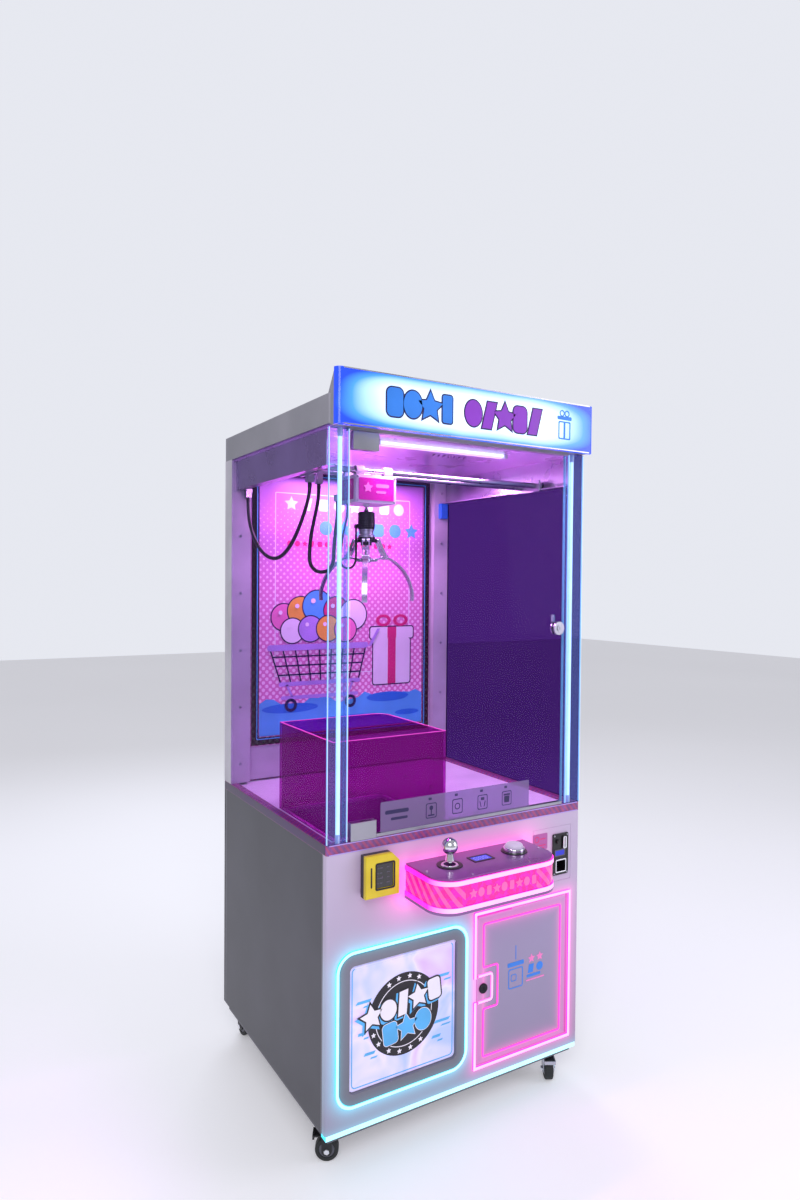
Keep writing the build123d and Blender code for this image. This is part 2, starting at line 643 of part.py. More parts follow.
def coin_return_button():
    button = rod_y(RETURN_X, RETURN_Z, FRONT - 4 - RETURN_TRAVEL - 1, FRONT + 14, RETURN_D)
    return fillet(button.edges().group_by(Axis.Y)[0], 2)


def card_reader():
    """Yellow reader with a cut corner and a recessed screen, on a black mounting box."""
    x0 = LEFT + CARD_X
    z1 = Z_TRIM - CARD_TOP
    z0 = z1 - CARD_H
    y0 = FRONT - CARD_OUT
    outline = [(x0, z0), (x0 + CARD_W, z0), (x0 + CARD_W, z1 - CARD_CUT),
               (x0 + CARD_W - CARD_CUT, z1), (x0, z1)]
    face = Plane.XZ * make_face(Polyline(*outline, close=True))
    shell = Pos(0, FRONT - 8, 0) * extrude(face, CARD_OUT - 8, dir=(0, -1, 0))
    shell = fillet(shell.edges().group_by(Axis.Y)[0], 2.5)
    shell -= block(x0 + SCREEN_X, x0 + SCREEN_X + SCREEN_W, y0 - 1, y0 + SCREEN_DEEP,
                   z0 + SCREEN_Z, z0 + SCREEN_Z + SCREEN_H)
    back = block(x0 + 4, x0 + CARD_W - 8, FRONT - 8, FRONT, z0 + 4, z1 - 8)
    return [shell, back]


# ---------------------------------------------------------------- glass cabin
LIGHT_TUBE = 11.0
DOOR_RAIL = 10.0     # roof's front rail
DOOR_TOP = Z_ROOF - DOOR_RAIL - 2
DOOR_Z0 = Z_GLASS + 2
GDOOR_X0 = LEFT + POST_W + 10
GDOOR_X1 = RIGHT - POST_W - 12
GDOOR_Y = FRONT + 2
PATCH_W = 72.0
PATCH_H = 44.0
PATCH_OUT = 6.0
PATCH_NOTCH = 28.0
GPIVOT_X = GDOOR_X0 + 14
GPIVOT_Y = GDOOR_Y + DOOR_T / 2
GPIN_D = 10.0
POST_T = 5.0
POST_RETURN = 20.0


def corner_post(side):
    """Clear L-shaped post at a front corner."""
    x0 = LEFT if side < 0 else RIGHT - POST_W
    post = block(x0, x0 + POST_W, FRONT, FRONT + POST_T, Z_GLASS, Z_ROOF - 6)
    inner = x0 + POST_W - POST_T if side < 0 else x0
    return post + block(inner, inner + POST_T, FRONT, FRONT + POST_RETURN, Z_GLASS, Z_ROOF - 6)


def light_tubes():
    """White tubes in the front corners and two bars on the ceiling."""
    tubes = []
    for side in (-1, 1):
        tubes.append(rod_z(side * (CAB_W / 2 - 35), FRONT + POST_T + LIGHT_TUBE / 2 + 1, Z_GLASS, Z_ROOF - 6,
                           LIGHT_TUBE))
    for y in (FRONT + 120, BACK - 150):
        tubes.append(block(-CAB_W / 4, CAB_W / 4, y - 9, y + 9, Z_ROOF - 6 - 8, Z_ROOF - 6))
    return tubes


def rear_post(side):
    x0 = LEFT if side < 0 else RIGHT - REAR_POST_W
    post = block(x0, x0 + REAR_POST_W, BACK - REAR_POST_W, BACK, Z_GLASS, Z_ROOF)
    post = fillet(post.edges().filter_by(Axis.Z).group_by(Axis.Y)[-1], 3)
    return post - block(x0 + 2, x0 + REAR_POST_W - 2, BACK - REAR_POST_W + 2, BACK - 2,
                        Z_GLASS - 1, Z_ROOF + 1)


def side_glass(side):
    x0 = LEFT if side < 0 else RIGHT - GLASS_T
    return block(x0, x0 + GLASS_T, FRONT + POST_T, BACK - REAR_POST_W, Z_GLASS, Z_ROOF)


WALL_Y = BACK - 38
WALL_T = 12.0
POSTER_Z0 = Z_GLASS + 108
POSTER_BAND = 28.0
POSTER_T = 8.0
CEILING_T = 6.0


def back_wall():
    return block(LEFT + REAR_POST_W, RIGHT - REAR_POST_W, WALL_Y, WALL_Y + WALL_T, Z_GLASS, Z_ROOF)


def poster():
    """Printed back panel in its black frame, on the back wall."""
    x = CAB_W / 2 - REAR_POST_W - 8
    z1 = Z_ROOF - CEILING_T - 4
    frame = ring_y(-x, x, POSTER_Z0, z1, 2, POSTER_BAND, WALL_Y - POSTER_T, WALL_Y)
    sheet = block(-x + POSTER_BAND, x - POSTER_BAND, WALL_Y - 3, WALL_Y, POSTER_Z0 + POSTER_BAND,
                  z1 - POSTER_BAND)
    return [frame, sheet]


ROOF_T = 3.0
ROOF_FLANGE = 75.0
SIGN_LEAN = 33.0     # sign housing's foot on the roof, behind the front
SIGN_DROP = 6.0      # sign below the roof's underside


def roof_box():
    """Folded roof tray with a flange and the front rail, and the sign's housing on it."""
    roof = block(LEFT, RIGHT, FRONT, BACK, Z_ROOF, Z_TOP)
    roof = fillet(roof.edges().filter_by(Axis.Z), EDGE_R)
    roof -= block(LEFT + ROOF_T, RIGHT - ROOF_T, FRONT + ROOF_T, BACK - ROOF_T,
                  Z_ROOF + ROOF_T, Z_TOP - ROOF_T)
    roof -= block(LEFT + ROOF_FLANGE, RIGHT - ROOF_FLANGE, FRONT + ROOF_FLANGE, BACK - ROOF_FLANGE,
                  Z_ROOF - 1, Z_ROOF + ROOF_T + 1)
    roof += block(LEFT + POST_W + 0.5, RIGHT - POST_W - 0.5, FRONT, FRONT + POST_RETURN,
                  Z_ROOF - DOOR_RAIL, Z_ROOF + 1)
    y0 = FRONT - SIGN_OUT + SIGN_T
    top = Z_ROOF - SIGN_DROP + SIGN_H - 5
    outline = [(y0, Z_ROOF - 4), (y0, top), (y0 + 5, top), (FRONT + SIGN_LEAN - 20, Z_TOP), (FRONT, Z_TOP),
               (FRONT, Z_ROOF - 4)]
    housing = profile_x(outline, LEFT + 3, RIGHT - 3)
    hollow = [(y0 + 2, Z_ROOF - 2), (y0 + 2, top - 3), (y0 + 3, top - 3), (FRONT - 2, Z_TOP + 22),
              (FRONT - 2, Z_ROOF - 2)]
    housing -= profile_x(hollow, LEFT + 5, RIGHT - 5)
    return [roof, housing]


def header_sign():
    """Lit acrylic sign box with rounded upright corners."""
    sign = block(LEFT, RIGHT, FRONT - SIGN_OUT, FRONT - SIGN_OUT + SIGN_T,
                 Z_ROOF - SIGN_DROP, Z_ROOF - SIGN_DROP + SIGN_H)
    return fillet(sign.edges().filter_by(Axis.Z).group_by(Axis.Y)[0], SIGN_T - 1)


RAIL_X = 12.0        # gantry rail's web from the cabinet's side
RAIL_FOOT = 22.0
RAIL_T = 4.0
ROLLER_D = 20.0
ROLLER_W = 17.0
ROLLER_GAP = 0.3
TUBE_Z = Z_ROOF - TROLLEY_DROP + TROLLEY_H + 14
FOOT_Z = TUBE_Z - ROLLER_D / 2
RAIL_Y0 = FRONT + 40
RAIL_Y1 = BACK - REAR_POST_W - 6
HOME_CX = GUARD_X0 + HOME_X
HOME_CY = GUARD_Y0 + HOME_Y


def ceiling_panel():
    """White ceiling with slanted vent slots."""
    panel = block(LEFT + GLASS_T + 1, RIGHT - GLASS_T - 1, FRONT + POST_RETURN + 1, BACK - REAR_POST_W - 1,
                  Z_ROOF - CEILING_T, Z_ROOF)
    for i in range(7):
        x = 40 + i * 18
        slot = block(-3, 3, -22, 22, Z_ROOF - CEILING_T - 1, Z_ROOF + 1)
        panel -= Pos(x, FRONT + 230, 0) * Rot(0, 0, -25) * slot
    return panel


LOOP_X = LEFT + 49
LOOP_D = 11.0
LOOP_END_Y = HOME_CY + 15
CLAMP_Z = Z_ROOF - 116
RAIL_CLAMP_Y = BACK - 74


def gantry_rails():
    """Two hanging rails; the left one carries the clamp of the bridge's cable."""
    rails = []
    for side in (-1, 1):
        web = side * (CAB_W / 2 - RAIL_X)
        web_in = web - side * RAIL_T
        foot = web - side * (RAIL_T + RAIL_FOOT)
        rail = block(min(web, web_in), max(web, web_in), RAIL_Y0, RAIL_Y1,
                     FOOT_Z - RAIL_T, Z_ROOF - CEILING_T)
        rail += block(min(web, foot), max(web, foot), RAIL_Y0, RAIL_Y1, FOOT_Z - RAIL_T, FOOT_Z)
        if side < 0:
            rail += block(web_in - 1, LOOP_X + 10, RAIL_CLAMP_Y - 10, RAIL_CLAMP_Y + 10,
                          FOOT_Z - RAIL_T, FOOT_Z)
            rail += block(LOOP_X - 9, LOOP_X + 9, RAIL_CLAMP_Y - 9, RAIL_CLAMP_Y + 9, CLAMP_Z,
                          FOOT_Z - RAIL_T + 1)
        rails.append(rail)
    return rails


END_T = 6.0
LINK_LOOP_Y = HOME_CY + BRIDGE_SPREAD / 2
LINK_LOOP_X = LEFT + 85
TROLLEY_Z0 = Z_ROOF - TROLLEY_DROP
TROLLEY_Z1 = TROLLEY_Z0 + TROLLEY_H
TROLLEY_X0 = HOME_CX - TROLLEY_W / 2
BUSH_D = 26.0
HOIST_D = 3.0
FEED_X = HOME_CX - 52
FEED_Y = HOME_CY + 12


def bridge():
    """Two cross tubes between end plates, with rollers on the rails."""
    pieces = []
    end_x = CAB_W / 2 - RAIL_X - RAIL_T - RAIL_FOOT - 1
    half = BRIDGE_SPREAD / 2
    for side in (-1, 1):
        y = HOME_CY + side * half
        pieces.append(rod_x(y, TUBE_Z, -end_x - 1, end_x + 1, BRIDGE_TUBE))
    plates = []
    for side in (-1, 1):
        x0 = side * (end_x - END_T)
        x1 = side * end_x
        plate = block(min(x0, x1), max(x0, x1), HOME_CY - half - 22, HOME_CY + half + 22,
                      TUBE_Z - 18, TUBE_Z + 16)
        for turn in (-1, 1):
            y = HOME_CY + turn * half
            roller_end = side * (end_x + ROLLER_W)
            plate += rod_x(y, TUBE_Z, min(x1, roller_end), max(x1, roller_end), ROLLER_D - 2 * ROLLER_GAP)
        plates.append(plate)
    whole = union(pieces + plates)
    whole += block(LOOP_X - 9, LOOP_X + 9, LOOP_END_Y - 9, LOOP_END_Y + 9, CLAMP_Z, TUBE_Z - 10)
    whole += block(LINK_LOOP_X - 8, LINK_LOOP_X + 8, LINK_LOOP_Y - 8, LINK_LOOP_Y + 8, CLAMP_Z, TUBE_Z)
    return whole


def trolley():
    """Winch box that hangs from four bushes on the bridge tubes."""
    half_w = TROLLEY_W / 2
    half_d = TROLLEY_D / 2
    box = block(HOME_CX - half_w, HOME_CX + half_w, HOME_CY - half_d, HOME_CY + half_d,
                TROLLEY_Z0, TROLLEY_Z1)
    box = fillet(box.edges().filter_by(Axis.Z), 4)
    box -= block(HOME_CX - half_w + 3, HOME_CX + half_w - 3, HOME_CY - half_d + 3, HOME_CY + half_d - 3,
                 TROLLEY_Z0 + 3, TROLLEY_Z1 - 3)
    box -= rod_z(HOME_CX, HOME_CY, TROLLEY_Z0 - 1, TROLLEY_Z0 + 4, 8)
    for side in (-1, 1):
        y = HOME_CY + side * BRIDGE_SPREAD / 2
        for end in (-1, 1):
            x = HOME_CX + end * (half_w - 20)
            box += rod_x(y, TUBE_Z, x - 12, x + 12, BUSH_D)
            box += block(x - 12, x + 12, y - 8, y + 8, TROLLEY_Z1 - 1, TUBE_Z)
    for side in (-1, 1):
        y = HOME_CY + side * BRIDGE_SPREAD / 2
        box -= rod_x(y, TUBE_Z, HOME_CX - TROLLEY_W, HOME_CX + TROLLEY_W, BRIDGE_TUBE + 2 * FIT)
    box += block(TROLLEY_X0 - 16, TROLLEY_X0 + 1, LINK_LOOP_Y - 8, LINK_LOOP_Y + 8,
                 TROLLEY_Z0 + 8, TROLLEY_Z0 + 26)
    return box


# ---------------------------------------------------------------- claw
COIL_GAP = 19.5      # coil's top below the trolley
COIL_H = 47.5
COLLAR_H = 26.0
LOWER_H = 18.0
ROD_D = 9.0
COIL_Z1 = TROLLEY_Z0 - COIL_GAP
COIL_Z0 = COIL_Z1 - COIL_H
COLLAR_Z0 = COIL_Z0 - COLLAR_H
BODY_Z0 = COLLAR_Z0 - LOWER_H
CLAW_STROKE = 29.7
LINK_R = 35.2        # link's upper pivot from the claw's axis
LINK_Z = COLLAR_Z0 - 4.4
HUB_R = 21.3         # finger's pivot from the claw's axis
HUB_Z = BODY_Z0 - 39.7
ELBOW_R = 57.7       # finger's elbow from the claw's axis
ELBOW_Z = HUB_Z + 8.5
TIP_R = 148.0
TIP_Z = HUB_Z - 113.0
CLAW_PIN = 4.0
ELBOW_PLAY = 2.8     # slack at the elbow, where the linkage's loop is opened
FINGER_TURN = (0, 120, 240)


def around(shape, turn):
    """Turn a piece about the claw's axis and move it home."""
    return Pos(HOME_CX, HOME_CY, 0) * Rot(0, 0, turn) * shape


def claw_coil():
    """Coil housing, collar and lower body, with three ears for the links."""
    coil = rod_z(0, 0, COIL_Z0, COIL_Z1, COIL_D)
    coil = fillet(coil.edges().group_by(Axis.Z)[-1], 3)
    coil += rod_z(0, 0, COLLAR_Z0, COIL_Z0, COIL_D - 8)
    coil += rod_z(0, 0, COLLAR_Z0 - 1, COLLAR_Z0 + 4, COIL_D + 4)
    coil += rod_z(0, 0, BODY_Z0, COLLAR_Z0, COIL_D - 14)
    coil += rod_z(0, 0, COIL_Z1 - 1, COIL_Z1 + 4, 12)
    for turn in FINGER_TURN:
        ear = block(12, LINK_R, -2, 2, LINK_Z - 5, LINK_Z + 5)
        ear += radial_rod(LINK_R, LINK_Z, -2, 2, 10)
        ear += radial_rod(LINK_R, LINK_Z, -6, 6, CLAW_PIN)
        coil += Rot(0, 0, turn) * ear
    coil -= rod_z(0, 0, BODY_Z0 - 1, COIL_Z0 + 20, ROD_D + 2 * FIT)
    feed = block(-COIL_D / 2 - 6, -COIL_D / 2 + 4, FEED_Y - HOME_CY - 6, FEED_Y - HOME_CY + 6,
                 COIL_Z0 + 2, COIL_Z0 + 14)
    feed += block(-COIL_D / 2 - 6, 0, FEED_Y - HOME_CY - 6, FEED_Y - HOME_CY + 6, COIL_Z0 + 8, COIL_Z0 + 14)
    coil += feed
    return Pos(HOME_CX, HOME_CY, 0) * coil


def claw_plunger():
    """Rod and hub; the hub's ears carry the fingers."""
    rod_top = COIL_Z0 + 20 - CLAW_STROKE - 6
    hub = rod_z(0, 0, HUB_Z - 8, HUB_Z + 8, 26)
    hub = fillet(hub.edges().group_by(Axis.Z)[0], 4)
    hub += rod_z(0, 0, HUB_Z, rod_top, ROD_D)
    for turn in FINGER_TURN:
        ear = block(6, HUB_R, -2, 2, HUB_Z - 5, HUB_Z + 5)
        ear += radial_rod(HUB_R, HUB_Z, -2, 2, 10)
        ear += radial_rod(HUB_R, HUB_Z, -6, 6, CLAW_PIN)
        hub += Rot(0, 0, turn) * ear
    return Pos(HOME_CX, HOME_CY, 0) * hub


def finger(turn):
    """Bent finger: a fork on the hub, the elbow, and a long blade that curves in to its tip."""
    t = FINGER_T
    line = Line((HUB_R, HUB_Z), (ELBOW_R, ELBOW_Z))
    reach = ThreePointArc((ELBOW_R, ELBOW_Z), (ELBOW_R + 52, ELBOW_Z - 28), (TIP_R - 4, TIP_Z + 40))
    hook = ThreePointArc((TIP_R - 4, TIP_Z + 40), (TIP_R + 1, TIP_Z + 20), (TIP_R, TIP_Z))
    blade = None
    for wire, width in ((line, 6.0), (reach, FINGER_W), (hook, FINGER_W)):
        strip = Plane.XZ * trace(wire, line_width=t)
        piece = Pos(0, width / 2, 0) * extrude(strip, width, dir=(0, -1, 0))
        blade = piece if blade is None else blade + piece
    blade += radial_rod(ELBOW_R, ELBOW_Z, -7, 7, 9)
    blade += radial_rod(ELBOW_R, ELBOW_Z, -10, 10, CLAW_PIN)
    for side in (-1, 1):
        y0 = side * (2 + GAP)
        y1 = side * (2 + GAP + 2.5)
        cheek = radial_rod(HUB_R, HUB_Z, y0, y1, 10)
        cheek += block(HUB_R, HUB_R + 12, min(y0, y1), max(y0, y1), HUB_Z - 4, HUB_Z + 5)
        blade += cheek
    blade -= block(HUB_R - 8, HUB_R + 8.5, -2 - GAP, 2 + GAP, HUB_Z - 10, HUB_Z + 10)
    blade -= radial_rod(HUB_R, HUB_Z, -12, 12, CLAW_PIN + 2 * FIT)
    return around(blade, turn)


def link(turn):
    """Pair of straps from the collar's ear to the elbow's pin."""
    length = hypot(ELBOW_R - LINK_R, ELBOW_Z - LINK_Z)
    angle = degrees(atan2(ELBOW_Z - LINK_Z, ELBOW_R - LINK_R))
    strap = None
    for side in (-1, 1):
        for r, y_in, y_out in ((0, 2 + GAP, 10.5), (length, 7 + GAP, 10.5)):
            y0 = side * y_in
            y1 = side * y_out
            eye = rod((r, y0, 0), (r, y1, 0), 10 if r == 0 else CLAW_PIN + 2 * ELBOW_PLAY + 5)
            strap = eye if strap is None else strap + eye
        y0 = side * (7 + GAP)
        y1 = side * 10.5
        strap += block(0, length, min(y0, y1), max(y0, y1), -4, 4)
    strap += block(22, 30, -10.5, 10.5, -3, 3)
    strap -= block(length - 8, length + 20, -7 - GAP, 7 + GAP, -20, 20)
    strap -= rod((0, -12, 0), (0, 12, 0), CLAW_PIN + 2 * FIT)
    strap -= rod((length, -12, 0), (length, 12, 0), CLAW_PIN + 2 * ELBOW_PLAY)
    placed = Pos(LINK_R, 0, LINK_Z) * Rot(0, -angle, 0) * strap
    return around(placed, turn)


def hoist_cord():
    return rod_z(HOME_CX, HOME_CY, COIL_Z1 + 4, TROLLEY_Z0 + 3, HOIST_D)


# ---------------------------------------------------------------- hanging cables (chosen points)
def bridge_cable():
    """Hangs beside the left rail from the rear clamp to the bridge (share of the span, drop)."""
    span = RAIL_CLAMP_Y - LOOP_END_Y
    route = [(1.0, 0), (1.0, -37), (0.97, -82), (0.88, -132), (0.75, -172), (0.615, -193), (0.48, -197),
             (0.35, -182), (0.23, -150), (0.132, -109), (0.05, -64), (0, -27), (0, 0)]
    points = [(LOOP_X, LOOP_END_Y + share * span, CLAMP_Z + down) for share, down in route]
    return cord_tube(points, LOOP_D, "bridge_cable")


def trolley_cable():
    """Hangs in a narrow loop from the bridge's left end to the trolley's side."""
    route = [(0, 0), (0, -34), (-9, -78), (-20, -124), (-26, -170), (-27, -215), (-6, -236), (24, -236),
             (45, -215), (46, -172), (50, -128), (56.5, -84)]
    points = [(LINK_LOOP_X + dx, LINK_LOOP_Y, CLAMP_Z + dz) for dx, dz in route]
    points.append((TROLLEY_X0 - 8, LINK_LOOP_Y, TROLLEY_Z0 + 8))
    return cord_tube(points, LOOP_D, "trolley_cable")


FEED_D = 6.0


def claw_cable():
    """Thin lead that hangs from the trolley and feeds the coil."""
    route = [(0, 0), (0, -32), (-11, -74), (-19, -116), (-22, -160), (-8, -174), (12, -174), (26, -160),
             (27.5, -125), (26.5, -94)]
    points = [(FEED_X + dx, FEED_Y, TROLLEY_Z0 + dz) for dx, dz in route]
    points.append((HOME_CX - COIL_D / 2 - 3, FEED_Y, COIL_Z0 + 2))
    return cord_tube(points, FEED_D, "claw_cable")


# ---------------------------------------------------------------- guard, glass door, lights, hardware
GUARD_R = 40.0


def rear_right_edges(solid):
    """The upright edges at a block's rear right corner."""
    centre = solid.center()
    upright = solid.edges().filter_by(Axis.Z)
    return [e for e in upright if e.center().X > centre.X and e.center().Y > centre.Y]


def chute_guard():
    """Four clear walls round the chute, with a large round at the rear right corner."""
    x1 = GUARD_X0 + GUARD_W
    y1 = GUARD_Y0 + GUARD_D
    outer = block(GUARD_X0, x1, GUARD_Y0, y1, Z_DECK, Z_DECK + GUARD_H)
    inner = block(GUARD_X0 + GUARD_T, x1 - GUARD_T, GUARD_Y0 + GUARD_T, y1 - GUARD_T,
                  Z_DECK - 1, Z_DECK + GUARD_H + 1)
    outer = fillet(rear_right_edges(outer), GUARD_R)
    inner = fillet(rear_right_edges(inner), GUARD_R - GUARD_T)
    return outer - inner


GLOCK_X = GDOOR_X1 - 20
GLOCK_Z = Z_GLASS + 510
BOTTOM_RAIL = 8.0


def glass_door():
    door = block(GDOOR_X0, GDOOR_X1, GDOOR_Y, GDOOR_Y + DOOR_T, DOOR_Z0, DOOR_TOP)
    for z0 in (DOOR_Z0, DOOR_TOP - PATCH_H):
        door -= block(GDOOR_X0 - 1, GDOOR_X0 + PATCH_NOTCH, GDOOR_Y - 1, GDOOR_Y + DOOR_T + 1,
                      z0 - 1 if z0 == DOOR_Z0 else z0, z0 + PATCH_H + (0 if z0 == DOOR_Z0 else 1))
    door -= rod_y(GLOCK_X, GLOCK_Z, GDOOR_Y - 1, GDOOR_Y + DOOR_T + 1, 30)
    return door


def door_fittings():
    """Two patch fittings with the pivot bores, the bottom rail and the lock's rosettes."""
    pieces = []
    for z0 in (DOOR_Z0, DOOR_TOP - PATCH_H):
        patch = block(GDOOR_X0 - 2, GDOOR_X0 - 2 + PATCH_W,
                      GDOOR_Y - PATCH_OUT, GDOOR_Y + DOOR_T + PATCH_OUT, z0, z0 + PATCH_H)
        patch = chamfer(patch.edges().filter_by(Axis.Z), 1)
        patch -= block(GDOOR_X0 + PATCH_NOTCH, GDOOR_X0 + PATCH_W, GDOOR_Y, GDOOR_Y + DOOR_T,
                       z0 - 1, z0 + PATCH_H + 1)
        low = z0 == DOOR_Z0
        patch -= rod_z(GPIVOT_X, GPIVOT_Y, z0 - 1 if low else z0 + PATCH_H - 14,
                       z0 + 14 if low else z0 + PATCH_H + 1, GPIN_D + 2 * FIT)
        pieces.append(patch)
    x0 = GDOOR_X0 + PATCH_W
    for y0, y1 in ((GDOOR_Y - 2, GDOOR_Y), (GDOOR_Y + DOOR_T, GDOOR_Y + DOOR_T + 2)):
        pieces.append(block(x0, GDOOR_X1, y0, y1, DOOR_Z0, DOOR_Z0 + BOTTOM_RAIL))
    lock = rod_y(GLOCK_X, GLOCK_Z, GDOOR_Y, GDOOR_Y + DOOR_T, 30)
    for y0, y1 in ((GDOOR_Y - 5, GDOOR_Y), (GDOOR_Y + DOOR_T, GDOOR_Y + DOOR_T + 4)):
        lock += rod_y(GLOCK_X, GLOCK_Z, y0, y1, 38)
    lock -= rod_y(GLOCK_X, GLOCK_Z, GDOOR_Y - 6, GDOOR_Y + DOOR_T + 6, 16 + 2 * FIT)
    pieces.append(lock)
    return pieces


def glass_lock():
    """Key barrel with a short cam that passes behind the right post when it is locked."""
    barrel = rod_y(GLOCK_X, GLOCK_Z, GDOOR_Y - 7, FRONT + POST_RETURN + 4 + CAM_T, 16)
    barrel -= block(GLOCK_X - 1, GLOCK_X + 1, GDOOR_Y - 8, GDOOR_Y - 4, GLOCK_Z - 4, GLOCK_Z + 4)
    cam_y = FRONT + POST_RETURN + 3
    return barrel + block(GLOCK_X - 7, GLOCK_X + 7, cam_y, cam_y + CAM_T, GLOCK_Z - 7, GLOCK_Z + 38)


def base_and_prize_lights():
    """The strip under the front edge and the line round the prize door."""
    strip = block(LEFT + 4, RIGHT - 4, FRONT + 3, FRONT + FRAME_INSET, Z_CAB - LIGHT_H, Z_CAB)
    for side in (-1, 1):
        x0 = side * (CAB_W / 2 - 4)
        x1 = side * (CAB_W / 2 - FRAME_INSET)
        strip += block(min(x0, x1), max(x0, x1), FRONT + 3, FRONT + 28, Z_CAB - LIGHT_H, Z_CAB)
    d = NEON_W + 2
    halo = ring_y(PRIZE_X0 - d, PRIZE_X1 + d, PRIZE_Z0 - d, PRIZE_Z1 + d, 50, NEON_W, FRONT - NEON_T, FRONT)
    return [strip, halo]


def service_line():
    """The light line round the service door; it stops above and below the lock."""
    d = NEON_W + DOOR_GAP + 2
    line = ring_y(SERVICE_X0 - d, SERVICE_X1 + d, SERVICE_Z0 - d, SERVICE_Z1 + d, 3, NEON_W,
                  FRONT - NEON_T, FRONT)
    return line - block(SERVICE_X0 - d - 1, SERVICE_X0, FRONT - NEON_T - 1, FRONT + 1,
                        LOCK_Z - 32, LOCK_Z + 32)


def hardware():
    """Door pins, guard screws and the small screws of the control plate."""
    pieces = []
    for z0 in (Z_GLASS, DOOR_TOP - 12):
        low = z0 == Z_GLASS
        pieces.append(rod_z(GPIVOT_X, GPIVOT_Y, z0 if low else DOOR_TOP - 12,
                            DOOR_Z0 + 12 if low else Z_ROOF - DOOR_RAIL, GPIN_D))
    pieces.append(rod_z(PIVOT_X, PIVOT_Y, SERVICE_Z0 - DOOR_GAP - 10, SERVICE_Z0 + 10, PIN_D))
    pieces.append(rod_z(PIVOT_X, PIVOT_Y, SERVICE_Z1 - 10, SERVICE_Z1 + DOOR_GAP + 10, PIN_D))
    screw_z = Z_DECK + 78
    x1 = GUARD_X0 + GUARD_W
    y1 = GUARD_Y0 + GUARD_D
    for share in (0.22, 0.62):
        x = GUARD_X0 + share * GUARD_W
        pieces.append(rod_y(x, screw_z, y1 - GUARD_T - 4, y1 - GUARD_T, 10))
        y = GUARD_Y0 + share * GUARD_D
        pieces.append(rod_x(y, screw_z, x1, x1 + 4, 10))
    for dx, dy in ((-180, -79), (-90, -148), (90, -148), (180, -79)):
        pieces.append(rod_z(SHELF_CX + dx, FRONT + dy, SHELF_Z1, SHELF_Z1 + 2, 6))
    return pieces


# ---------------------------------------------------------------- write every sub-part
save("base_frame", [base_frame()])
save("front_panel", [front_panel()])
save("side_panels", [side_panel(-1), side_panel(1)])
save("lower_rear_panel", list(lower_rear_panel()))
save("ledge_trim", [ledge_trim()])
save("prize_deck", [prize_deck()])
save("chute_duct", [chute_duct()])
save("prize_door_frame", [prize_door_frame()])
save("prize_flap", [prize_flap()])
save("service_door", [service_door()])
save("service_lock", [service_lock()])
save("cyan_light_lines", base_and_prize_lights())
save("pink_light_lines", [service_line()] + control_lines())
save("control_shelf", control_shelf())
save("control_band", [control_band()])
save("control_top_plate", [control_top_plate()])
save("push_button", [push_button()])
save("joystick_gimbal", [joystick_gimbal()])
save("joystick_stick", [joystick_stick()])
save("coin_mech", [coin_mech()])
save("coin_return_button", [coin_return_button()])
save("card_reader", card_reader())
save("corner_posts", [corner_post(-1), corner_post(1)])
save("light_tubes", light_tubes())
save("rear_posts", [rear_post(-1), rear_post(1)])
save("side_glass", [side_glass(-1), side_glass(1)])
save("back_wall", [back_wall()])
save("poster", poster())
save("roof_box", roof_box())
save("header_sign", [header_sign()])
save("ceiling_panel", [ceiling_panel()])
save("chute_guard", [chute_guard()])
save("glass_door", [glass_door()])
save("door_fittings", door_fittings())
save("glass_lock", [glass_lock()])
save("gantry_rails", gantry_rails())
save("bridge", [bridge()])
save("trolley", [trolley()])
save("hoist_cord", [hoist_cord()])
save("claw_coil", [claw_coil()])
save("claw_plunger", [claw_plunger()])
for number, turn in enumerate(FINGER_TURN, 1):
    save("finger_" + str(number), [finger(turn)])
    save("link_" + str(number), [link(turn)])
save("bridge_cable", [bridge_cable()])
save("trolley_cable", [trolley_cable()])
save("claw_cable", [claw_cable()])
save("chrome_hardware", control_collars() + hardware())
save("caster_plates", [caster_plate(corner) for corner in CASTER_TURN])
for corner in CASTER_TURN:
    save("fork_" + corner, [caster_fork(corner)])
    save("wheel_" + corner, [caster_wheel(corner)])
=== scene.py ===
import json
import math

import bmesh
import bpy
from mathutils import Matrix, Vector


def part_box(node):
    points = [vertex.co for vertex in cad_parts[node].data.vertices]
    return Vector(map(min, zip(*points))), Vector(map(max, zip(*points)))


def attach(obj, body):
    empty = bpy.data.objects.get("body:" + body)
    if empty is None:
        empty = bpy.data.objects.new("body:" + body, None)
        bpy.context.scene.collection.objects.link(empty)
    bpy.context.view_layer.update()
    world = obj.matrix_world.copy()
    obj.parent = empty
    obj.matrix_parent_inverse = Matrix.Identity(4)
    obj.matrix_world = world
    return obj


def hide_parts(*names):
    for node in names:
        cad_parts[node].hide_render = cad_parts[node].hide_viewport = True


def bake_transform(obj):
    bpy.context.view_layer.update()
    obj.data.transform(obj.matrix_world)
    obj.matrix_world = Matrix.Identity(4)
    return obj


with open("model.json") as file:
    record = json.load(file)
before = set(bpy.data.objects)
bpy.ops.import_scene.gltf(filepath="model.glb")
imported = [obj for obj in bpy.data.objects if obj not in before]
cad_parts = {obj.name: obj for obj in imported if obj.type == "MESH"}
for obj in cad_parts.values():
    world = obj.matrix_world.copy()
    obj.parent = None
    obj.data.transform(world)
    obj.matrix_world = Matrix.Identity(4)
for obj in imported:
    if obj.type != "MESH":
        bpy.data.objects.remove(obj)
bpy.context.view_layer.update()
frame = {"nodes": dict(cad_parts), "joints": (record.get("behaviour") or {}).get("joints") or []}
MM = 0.001


